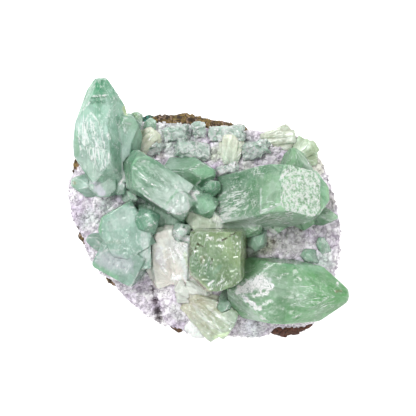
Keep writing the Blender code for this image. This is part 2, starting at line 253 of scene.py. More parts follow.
def blended(tree, share, first, second, mode="MIX"):
    made = add(tree, "ShaderNodeMix", {0: share, 6: first, 7: second}, data_type="RGBA", blend_type=mode)
    return made.outputs[2]


def noiseAt(tree, vector, scale, detail=2.0, roughness=0.5, distortion=0.0):
    inputs = {"Vector": vector, "Scale": scale, "Detail": detail, "Roughness": roughness}
    return add(tree, "ShaderNodeTexNoise", {**inputs, "Distortion": distortion}).outputs[0]


def attribute(tree, name):
    return add(tree, "ShaderNodeAttribute", attribute_name=name)


def newGroup(name, inputs, outputs):
    group = bpy.data.node_groups.new(name, "ShaderNodeTree")
    group.interface.new_socket("Vector", in_out="INPUT", socket_type="NodeSocketVector")
    for label, value in inputs.items():
        group.interface.new_socket(label, in_out="INPUT", socket_type="NodeSocketFloat").default_value = value
    for label in outputs:
        group.interface.new_socket(label, in_out="OUTPUT", socket_type="NodeSocketFloat")
    start = group.nodes.new("NodeGroupInput")
    end = group.nodes.new("NodeGroupOutput")
    return group, start, end


def placed(tree, group, inputs):
    return add(tree, "ShaderNodeGroup", inputs, node_tree=group)


def makeClouds():  # milky and clear patches inside a crystal
    group, start, end = newGroup("innerClouds", {"Size": 1.0, "Contrast": 0.5}, ("Mask", "Wisp"))
    size = maths(group, "DIVIDE", 1.0, start.outputs["Size"])
    broad = noiseAt(group, start.outputs["Vector"], size, 4.0, 0.62, 0.35)
    half = maths(group, "DIVIDE", 0.22, plus(group, start.outputs["Contrast"], 0.4))
    low, high = minus(group, 0.5, half), plus(group, 0.5, half)
    group.links.new(between(group, broad, low, high), end.inputs["Mask"])
    fine = noiseAt(group, start.outputs["Vector"], times(group, size, 3.5), 4.0, 0.7)
    group.links.new(between(group, fine, 0.56, 0.70), end.inputs["Wisp"])
    return group


def makeStreaks():  # short thin lines that run along a face, the more the higher Amount is
    inputs = {"Width": 0.3, "Length": 3.0, "Amount": 0.3}
    group, start, end = newGroup("fineStreaks", inputs, ("Mask", "Height"))
    across = maths(group, "DIVIDE", 1.0, start.outputs["Width"])
    along = maths(group, "DIVIDE", 1.0, start.outputs["Length"])
    scale = add(group, "ShaderNodeCombineXYZ", {0: across, 1: along, 2: 1.0}).outputs[0]
    stretched = vectorMaths(group, "MULTIPLY", {0: start.outputs["Vector"], 1: scale})
    lines = noiseAt(group, stretched, 0.7, 2.0, 0.6, 0.5)
    gate = noiseAt(group, stretched, 0.21, 2.0, 0.5)
    level = plus(group, lines, times(group, minus(group, gate, 0.5), 0.5))
    floor = minus(group, 0.74, times(group, start.outputs["Amount"], 0.24))
    mask = between(group, level, floor, plus(group, floor, 0.07))
    group.links.new(mask, end.inputs["Mask"])
    group.links.new(lines, end.inputs["Height"])
    return group


def makeFlaws():  # flat flaws inside a crystal: each has its own brightness, some a bright edge
    group, start, end = newGroup("innerFlaws", {"Size": 1.5, "Stretch": 2.0}, ("Tone", "Edge"))
    across = maths(group, "DIVIDE", 1.0, start.outputs["Size"])
    along = maths(group, "DIVIDE", across, start.outputs["Stretch"])
    scale = add(group, "ShaderNodeCombineXYZ", {0: across, 1: along, 2: across}).outputs[0]
    placedAt = vectorMaths(group, "MULTIPLY", {0: start.outputs["Vector"], 1: scale})
    bend = add(group, "ShaderNodeTexNoise", {"Vector": placedAt, "Scale": 0.8, "Detail": 2.0}).outputs[1]
    bent = vectorMaths(group, "SCALE", {0: bend, "Scale": 1.1})
    where = vectorMaths(group, "ADD", {0: placedAt, 1: bent})
    cells = add(group, "ShaderNodeTexVoronoi", {"Vector": where, "Scale": 1.0})
    own = add(group, "ShaderNodeSeparateColor", {0: cells.outputs["Color"]}).outputs
    group.links.new(own[0], end.inputs["Tone"])
    borders = add(group, "ShaderNodeTexVoronoi", {"Vector": where, "Scale": 1.0}, feature="DISTANCE_TO_EDGE")
    line = between(group, borders.outputs["Distance"], 0.01, 0.07, 1.0, 0.0)
    group.links.new(times(group, line, between(group, own[1], 0.45, 0.6)), end.inputs["Edge"])
    return group


# painted glints: the facets picked by Mask are painted near white in the colour, as light caught by tiny
# facets
def makeGlints():  # small facets, each with its own brightness and height
    group, start, end = newGroup("paintedFacetGlints", {"Size": 0.4, "Amount": 0.3}, ("Mask", "Height"))
    scale = maths(group, "DIVIDE", 1.0, start.outputs["Size"])
    cells = add(group, "ShaderNodeTexVoronoi", {"Vector": start.outputs["Vector"], "Scale": scale})
    own = add(group, "ShaderNodeSeparateColor", {0: cells.outputs["Color"]}).outputs[0]
    floor = minus(group, 1.0, start.outputs["Amount"])
    lit = between(group, own, floor, plus(group, floor, 0.06))
    mask = times(group, lit, between(group, cells.outputs["Distance"], 0.25, 0.55, 1.0, 0.0))
    group.links.new(mask, end.inputs["Mask"])
    group.links.new(minus(group, own, cells.outputs["Distance"]), end.inputs["Height"])
    return group


clouds, streaks, flaws, glints = makeClouds(), makeStreaks(), makeFlaws(), makeGlints()

apophylliteIor, quartzIor = 1.535, 1.54
milkShare = 0.4  # how much of the light a crystal scatters inside

speckleScale, patchyScale, laceScale = 2200.0, 900.0, 820.0  # lumps of fine noise to a metre
# frost is the white of frost together with painted glints and painted reflections
glass = dict(  # what lies over a crystal's own tint
    cloud=rgba(232, 243, 238), flawEdge=rgba(236, 248, 241), wisp=rgba(238, 247, 242),
    line=rgba(248, 252, 250), dark=rgba(52, 104, 76), frost=rgba(254, 254, 254), rust=rgba(62, 50, 22),
)

crystalLooks = {
    "greenApophyllite": dict(
        transmission=0.34, absorb=tone(192, 242, 212), density=8.0, roughness=(0.06, 0.22),
        cloud=0.24, relief=1.0, spots=0.0,
    ),
    "oliveApophyllite": dict(
        transmission=0.36, absorb=tone(206, 230, 170), density=9.0, roughness=(0.08, 0.26),
        cloud=0.16, relief=0.8, spots=1.0,
    ),
    "paleApophyllite": dict(
        transmission=0.40, absorb=tone(222, 244, 232), density=4.0, roughness=(0.06, 0.26),
        cloud=0.7, relief=1.2, spots=0.0,
    ),
    "stilbiteBlades": dict(
        transmission=0.08, absorb=tone(246, 240, 226), density=2.0, roughness=(0.14, 0.34),
        cloud=0.4, relief=0.8, spots=1.0,
    ),
}


def crystalMaterial(name, look):
    material, tree, shader = newMaterial(name)
    tint = attribute(tree, "tint").outputs["Color"]
    marks = add(tree, "ShaderNodeSeparateColor", {0: attribute(tree, "marks").outputs["Color"]}).outputs
    # wear sets how many white streak lines show, which are painted glints along fine growth lines, and with
    # them how much fine tone detail and bright flaw edge shows
    wear = attribute(tree, "streaks").outputs["Fac"]
    grain = attribute(tree, "grain").outputs["Vector"]
    place = add(tree, "ShaderNodeTexCoord").outputs["Object"]
    milk = placed(tree, clouds, {"Vector": place, "Size": 4.5 * mm, "Contrast": 0.5}).outputs
    lines = placed(tree, streaks, {"Vector": grain, "Width": 0.24, "Length": 1.9, "Amount": wear}).outputs
    wide = placed(tree, flaws, {"Vector": grain, "Size": 2.1, "Stretch": 2.2}).outputs
    narrow = placed(tree, flaws, {"Vector": grain, "Size": 0.62, "Stretch": 2.0}).outputs
    sparks = placed(tree, glints, {"Vector": place, "Size": 0.42 * mm, "Amount": 0.42}).outputs
    speckle = noiseAt(tree, place, speckleScale, 2.0, 0.6)
    patchy = noiseAt(tree, place, patchyScale, 4.0, 0.72)
    pale = blended(tree, times(tree, milk["Mask"], look["cloud"]), tint, glass["cloud"])
    value = between(tree, milk["Mask"], 0.0, 0.6, 0.77, 0.87)
    glintLevel = between(tree, plus(tree, wear, marks[0]), 0.05, 0.75, 0.15, 1.0)
    uneven = between(tree, narrow["Tone"], 0.0, 1.0, -0.13, 0.10)
    uneven = plus(tree, uneven, between(tree, patchy, 0.28, 0.68, -0.22, 0.13))
    value = times(tree, value, between(tree, wide["Tone"], 0.0, 1.0, 0.87, 1.07))
    value = times(tree, value, plus(tree, 1.0, times(tree, uneven, glintLevel)))
    colour = add(tree, "ShaderNodeHueSaturation", {"Value": value, "Color": pale}).outputs[0]
    edges = plus(tree, wide["Edge"], times(tree, narrow["Edge"], 0.25))
    edges = times(tree, edges, times(tree, glintLevel, 0.42), True)
    colour = blended(tree, edges, colour, glass["flawEdge"])
    wisp = times(tree, milk["Wisp"], look["cloud"])
    colour = blended(tree, wisp, colour, glass["wisp"])
    # painted glints: the white streak lines along each face
    colour = blended(tree, times(tree, lines["Mask"], 0.85), colour, glass["line"])
    dark = times(tree, marks[1], between(tree, speckle, 0.25, 0.6), True)
    colour = blended(tree, dark, colour, glass["dark"])
    # painted glints and frost: where the frost-and-glint channel is set, small facet glints and lacy frost
    # are painted white into the colour
    spark = times(tree, sparks["Mask"], 0.6)
    grainy = plus(tree, between(tree, patchy, 0.42, 0.60, 0.0, 0.95), spark)
    ridge = maths(tree, "ABSOLUTE", minus(tree, noiseAt(tree, place, laceScale, 1.0, 0.5, 1.2), 0.5))
    lace = between(tree, ridge, 0.012, 0.05, 0.1, 1.15)
    solid = between(tree, marks[0], 0.80, 0.95)
    covered = add(tree, "ShaderNodeMix", {0: solid, 2: grainy, 3: lace}, data_type="FLOAT").outputs[0]
    frost = times(tree, marks[0], covered, True)
    colour = blended(tree, frost, colour, glass["frost"])
    if look["spots"]:
        rust = times(tree, marks[2], between(tree, speckle, 0.35, 0.62), True)
        colour = blended(tree, rust, colour, glass["rust"])
    rough = plus(tree, speckle, times(tree, marks[0], 0.2))
    rough = between(tree, rough, 0.3, 0.9, *look["roughness"])
    height = times(tree, lines["Height"], 0.5)
    for layer, amount in (
        (narrow["Tone"], 0.35), (patchy, 0.45), (speckle, marks[0]), (sparks["Height"], marks[0])
    ):
        height = plus(tree, height, times(tree, layer, amount))
    setInputs(tree, shader, {
        "Base Color": colour, "Roughness": rough, "Metallic": 0.0, "IOR": apophylliteIor,
        "Transmission Weight": look["transmission"], "Subsurface Weight": milkShare,
        "Subsurface Radius": (0.7, 1.0, 0.85), "Subsurface Scale": 2 * mm,
        "Normal": bumped(tree, height, 0.7, 0.14 * mm * look["relief"]),
    })
    inside = {"Color": (*look["absorb"], 1), "Density": look["density"]}
    absorb = add(tree, "ShaderNodeVolumeAbsorption", inside)
    output = next(node for node in tree.nodes if node.type == "OUTPUT_MATERIAL")
    tree.links.new(absorb.outputs[0], output.inputs["Volume"])
    return material


materials = {name: crystalMaterial(name, look) for name, look in crystalLooks.items()}


# crystals: a four-sided prism from root to tip with pyramid faces and a flat end

nearFace, offFace = 0.4, 0.75  # skin this near a face goes onto it, and this far off it stays put
linesApart = np.array((0.7, 8.0, 1.0))  # across a face and along it
stepsApart = np.array((2.8, 9.0, 1.0))
flakeSize = np.array((1.7, 3.4, 1.0))

prismFace, taperFace, pyramidFace, cutFace, footFace, endFace, rootFace, floorFace = range(8)


def facesOf(crystal):  # every face as a point on it, its outward direction and its kind
    tip, root = Vector(crystal["tip"]), Vector(crystal["root"])
    axis = (tip - root).normalized()
    side = up.cross(axis).normalized()
    turned = Matrix.Rotation(math.radians(crystal["roll"]), 3, axis)
    halves = [size / 2 for size in crystal["size"]]
    caps, edges = crystal["caps"], crystal.get("edges", (noEdge,))
    faces = [(tip, axis, endFace), (root, -axis, rootFace), (Vector((0, 0, rootFloor)), -up, floorFace)]
    for quarter in range(4):
        outward = turned @ Matrix.Rotation(math.radians(90 * quarter), 3, axis) @ side
        foot = root + outward * halves[quarter % 2]
        faces.append((foot, outward, prismFace))
        if crystal.get("taper"):
            lean = math.radians(crystal["taper"])
            shoulder = foot + (tip - root) * crystal["shoulder"]
            faces.append((shoulder, outward * math.cos(lean) + axis * math.sin(lean), taperFace))
        corner = Matrix.Rotation(math.radians(45), 3, axis) @ outward
        across, along = corner * math.cos(pyramidLean), axis * math.sin(pyramidLean)
        faces.append((tip + corner * caps[quarter % len(caps)], across + along, pyramidFace))
        if edges[quarter % len(edges)] < noEdge:
            faces.append((root + corner * edges[quarter % len(edges)], corner, cutFace))
        if crystal.get("foot"):
            faces.append((root + corner * crystal["foot"], across - along, footFace))
    for place, way in crystal.get("more", ()):
        faces.append((Vector(place), Vector(way).normalized(), cutFace))
    return faces


def shapeOf(crystal):
    faces = facesOf(crystal)
    normals = np.array([face[1] for face in faces], float)
    return dict(
        normals=normals,
        offsets=(np.array([face[0] for face in faces], float) * normals).sum(axis=1),
        kinds=np.array([face[2] for face in faces]),
        root=np.array(crystal["root"], float),
        axis=normals[0],
        length=float(np.linalg.norm(np.array(crystal["tip"]) - np.array(crystal["root"]))),
        reach=max(crystal["size"]) / 2,
    )


def fieldOf(points, shape, soft):  # distance out of a crystal with rounded edges, and the way out
    away = points @ shape["normals"].T - shape["offsets"]
    top = away.max(axis=1, keepdims=True)
    share = np.exp((away - top) / soft)
    total = share.sum(axis=1, keepdims=True)
    outward = (share / total) @ shape["normals"]
    outward /= np.linalg.norm(outward, axis=1, keepdims=True)
    return top[:, 0] + soft * np.log(total[:, 0]), outward, away


def clusterField(points, shapes, soft):
    fields = [fieldOf(points, shape, soft) for shape in shapes]
    owner = np.argmin([field[0] for field in fields], axis=0)
    value = np.min([field[0] for field in fields], axis=0)
    outward = np.zeros_like(points)
    for number, field in enumerate(fields):
        outward[owner == number] = field[1][owner == number]
    return value, outward, owner, fields


usualCluster = dict(  # what a cluster has unless its own dictionary says otherwise, in millimetres
    finish="greenApophyllite", slot="green_apophyllite", cell=0.235, soft=0.11, rough=0.0, flakes=0.10,
    wear=0.45, marks=(),
)
tintStops = (0.15, 0.55, 0.95)  # where along a crystal its root, body and tip tints are reached


def alongFace(here, shape, normal):  # how far up the crystal, across the face and along it
    offset = here - shape["root"]
    across = np.cross(normal, shape["axis"])
    flat = np.linalg.norm(across, axis=1) < 0.3  # the end face has no way along it
    across[flat] = np.cross(shape["axis"], (0.0, 0.3, 1.0))
    across /= np.linalg.norm(across, axis=1, keepdims=True)
    down = np.cross(across, normal)
    return offset @ shape["axis"], (offset * across).sum(axis=1), (offset * down).sum(axis=1)


def faceRelief(here, local, kind, number, flakes):  # lines, growth steps, pits and flakes
    wave = 0.035 * layered(here, 4.5, 2, 3 + number)
    lines = lumps(local / linesApart, 1.0, 11)
    level = 3.2 * layered(local / stepsApart, 1.0, 2, 12)
    part = level - np.floor(level)
    step = np.floor(level) + smooth(0.40, 0.60, part)
    ledge = smooth(0.36, 0.5, part) * smooth(0.64, 0.5, part)
    sided = np.isin(kind, (prismFace, taperFace, cutFace))
    striated = np.where(sided, 0.035 * lines + 0.055 * step, 0.02 * lines + 0.045 * step)
    etched = 0.14 * layered(here, 0.8, 2, 31) * (kind == endFace)
    flaked = chips(local / flakeSize, 1.0, 33)
    flaked = flakes * flaked * smooth(-0.4, 0.7, layered(here, 5.0, 2, 34))
    return wave + striated + etched + flaked, ledge


def faceTint(here, share, gap, face, upward, number, tints):
    root, body, tip, edge = tints
    blend = share + 0.12 * layered(here, 3.5, 2, number)
    shade = np.stack([np.interp(blend, tintStops, row) for row in zip(root, body, tip)], axis=1)
    own = randomOf(np.stack([face, face * 0 + number, face * 0], axis=1), 5)  # each face has its own tone
    # painted shade: steep faces, and skin near a face's edges, are blended towards the flank-shade tint,
    # which for most crystals is a darker green; the last factor darkens the tone close to each edge
    flankShade = (0.55 * smooth(0.9, 0.25, upward) + 0.25 * np.exp(-gap / 0.9))[:, None]
    shade = shade * (1 - flankShade) + np.array(edge) * flankShade
    return shade * ((1 + 0.20 * (own - 0.5)) * (1 - 0.10 * np.exp(-gap / 0.5)))[:, None]


def eatAway(points, height, tint, marks, rough):  # etching leaves broken lumps and white crumbs
    broken = chips(points, 2.1, 65)
    broad, small = layered(points, 3.0, 2, 60), chips(points, 0.9, 66)
    height += rough * (0.7 * broad + broken - 0.3) + 0.2 * rough * small
    # painted light and shade: raised broken chips are painted lighter and low ones a darker grey-green
    lit = smooth(-0.6, 0.5, broken + 0.3 * layered(points, 1.4, 2, 67))[:, None]
    tint = (tint * lit + np.array(tone(174, 210, 188)) * (1 - lit)) * (1 + 0.12 * lit)
    crumbs = smooth(-0.1, 0.7, layered(points, 1.3, 2, 61))
    marks[:, 0] = np.maximum(marks[:, 0], 0.75 * crumbs)
    return np.minimum(tint * (1 + 0.10 * layered(points, 2.0, 2, 62))[:, None], 0.93)


def settleOn(points, around, shapes, soft):  # move an even skin onto the crystals' faces
    for _ in range(2):
        value, outward, owner, fields = clusterField(points, shapes, soft)
        points -= (value * smooth(offFace, nearFace, abs(value)))[:, None] * outward
    value, outward, owner, fields = clusterField(points, shapes, soft)
    facing = (around * outward).sum(axis=1)
    sideways = around - facing[:, None] * outward
    sideways /= np.linalg.norm(sideways, axis=1, keepdims=True) + 1e-9
    points += (contact * smooth(0.96, 0.6, facing))[:, None] * sideways
    return smooth(0.6, 0.25, abs(value)), outward, owner, fields


def growCluster(name, ownValues):
    piece = {**usualCluster, **ownValues}
    mesh = gridCopy(piece["node"], piece["cell"])
    points = coordinates(mesh)
    shapes = [shapeOf(crystal) for crystal in piece["crystals"]]
    grown, outward, owner, fields = settleOn(points, normalsOf(mesh), shapes, piece["soft"])
    tint, marks, grain = (np.zeros((len(points), 3)) for _ in range(3))
    height, wear = np.zeros(len(points)), np.zeros(len(points))
    for number, (crystal, shape) in enumerate(zip(piece["crystals"], shapes)):
        mine = owner == number
        if not mine.any():
            continue
        here, away = points[mine], fields[number][2][mine]
        order = np.argsort(away, axis=1)
        face, nextFace = order[:, -1], order[:, -2]
        rows = np.arange(len(here))
        gap = away[rows, face] - away[rows, nextFace]  # how far the point is from the face's own edge
        kind = shape["kinds"][face]
        run, sideways, lengthwise = alongFace(here, shape, shape["normals"][face])
        local = np.stack([sideways, lengthwise, face * 3.7 + number * 11.0], axis=1)
        grain[mine] = local
        share = np.clip(run / shape["length"], 0, 1)
        tints = [crystal.get(key, piece[key]) for key in ("rootTint", "bodyTint", "tipTint", "edgeTint")]
        tint[mine] = faceTint(here, share, gap, face, outward[mine, 2], number, tints)
        relief, ledge = faceRelief(here, local, kind, number, piece["flakes"])
        height[mine] = relief * smooth(0.0, 0.5, gap)
        # painted highlights: bright lines on the growth ledges and along face edges go into the
        # frost-and-glint channel
        gate = smooth(-0.1, 0.6, layered(here, 5.0, 2, 50 + number))
        edge = np.exp(-((gap / 0.28) ** 2)) * smooth(0.0, 0.5, layered(here, 2.4, 2, 70 + number))
        endFrost = crystal.get("frost", 0.0) * (kind == endFace)
        marks[mine, 0] = np.max([0.6 * ledge * gate, endFrost, 0.6 * edge], axis=0)
        glintLevel = crystal.get("wear", piece["wear"])
        wear[mine] = np.clip(glintLevel + 0.35 * layered(here, 6.0, 2, 90 + number), 0, 1)
    if piece["rough"]:
        tint = eatAway(points, height, tint, marks, piece["rough"])
    points += (height * grown)[:, None] * outward
    finishMesh(mesh, points, tint, marks, grain, wear, piece["marks"])
    dressedPiece(name, mesh, materials[piece["finish"]], piece["slot"], piece["node"])
    print(name, "with", len(mesh.polygons), "faces")


def awayFrom(points, start, end):  # distance in plan from a straight stroke
    start, line = np.array(start, float), np.array(end, float) - start
    share = np.clip(((points[:, :2] - start) @ line) / (line @ line), 0, 1)
    return np.linalg.norm(points[:, :2] - start - share[:, None] * line, axis=1)


def drawStrokes(points, marks, wear, tint, kind, strokes):
    for *ends, width, strength in strokes:  # from x, y to x, y in plan, then how wide and how strong
        away = awayFrom(points, ends[:2], ends[2:])
        ragged = min(0.5 * width, 0.9)  # a wide stroke is a patch with an uneven edge
        level = smooth(width, 0.35 * width, away + ragged * lumps(points, 0.9, 5)) * strength
        if kind == "streaks":
            wear[:] = np.maximum(wear, level)
        elif kind in washes:
            tint[:] = tint * (1 - level[:, None]) + np.array(washes[kind]) * level[:, None]
        else:
            channel = {"frost": 0, "dark": 1, "rust": 2}[kind]
            marks[:, channel] = np.maximum(marks[:, channel], level)


def finishMesh(mesh, points, tint, marks, grain, wear, strokeGroups):
    for kind, *strokes in strokeGroups:
        drawStrokes(points, marks, wear, tint, kind, strokes)
    setCoordinates(mesh, points)
    addAttribute(mesh, "tint", colours(tint))
    addAttribute(mesh, "marks", colours(marks))
    addAttribute(mesh, "grain", grain)
    addAttribute(mesh, "streaks", wear)


def prism(tip, root, size, roll, caps, **more):  # caps: how far from the tip each pyramid face cuts
    return dict(tip=tip, root=root, size=size, roll=roll, caps=caps, **more)


washes = {  # colours that a stroke can lay over a crystal
    "white": tone(238, 244, 242), "green": tone(140, 204, 158), "yellow": tone(206, 230, 160),
    "grey": tone(178, 204, 184), "brown": tone(150, 128, 84), "sea": tone(150, 214, 190),
    "lilac": tone(232, 230, 242), "deep": tone(98, 156, 114),
}
mint, paleMint, oliveGreen = tone(166, 204, 178), tone(200, 224, 210), tone(128, 160, 114)
freshGreen, leafGreen, seaGreen = tone(70, 164, 68), tone(106, 174, 108), tone(120, 184, 148)

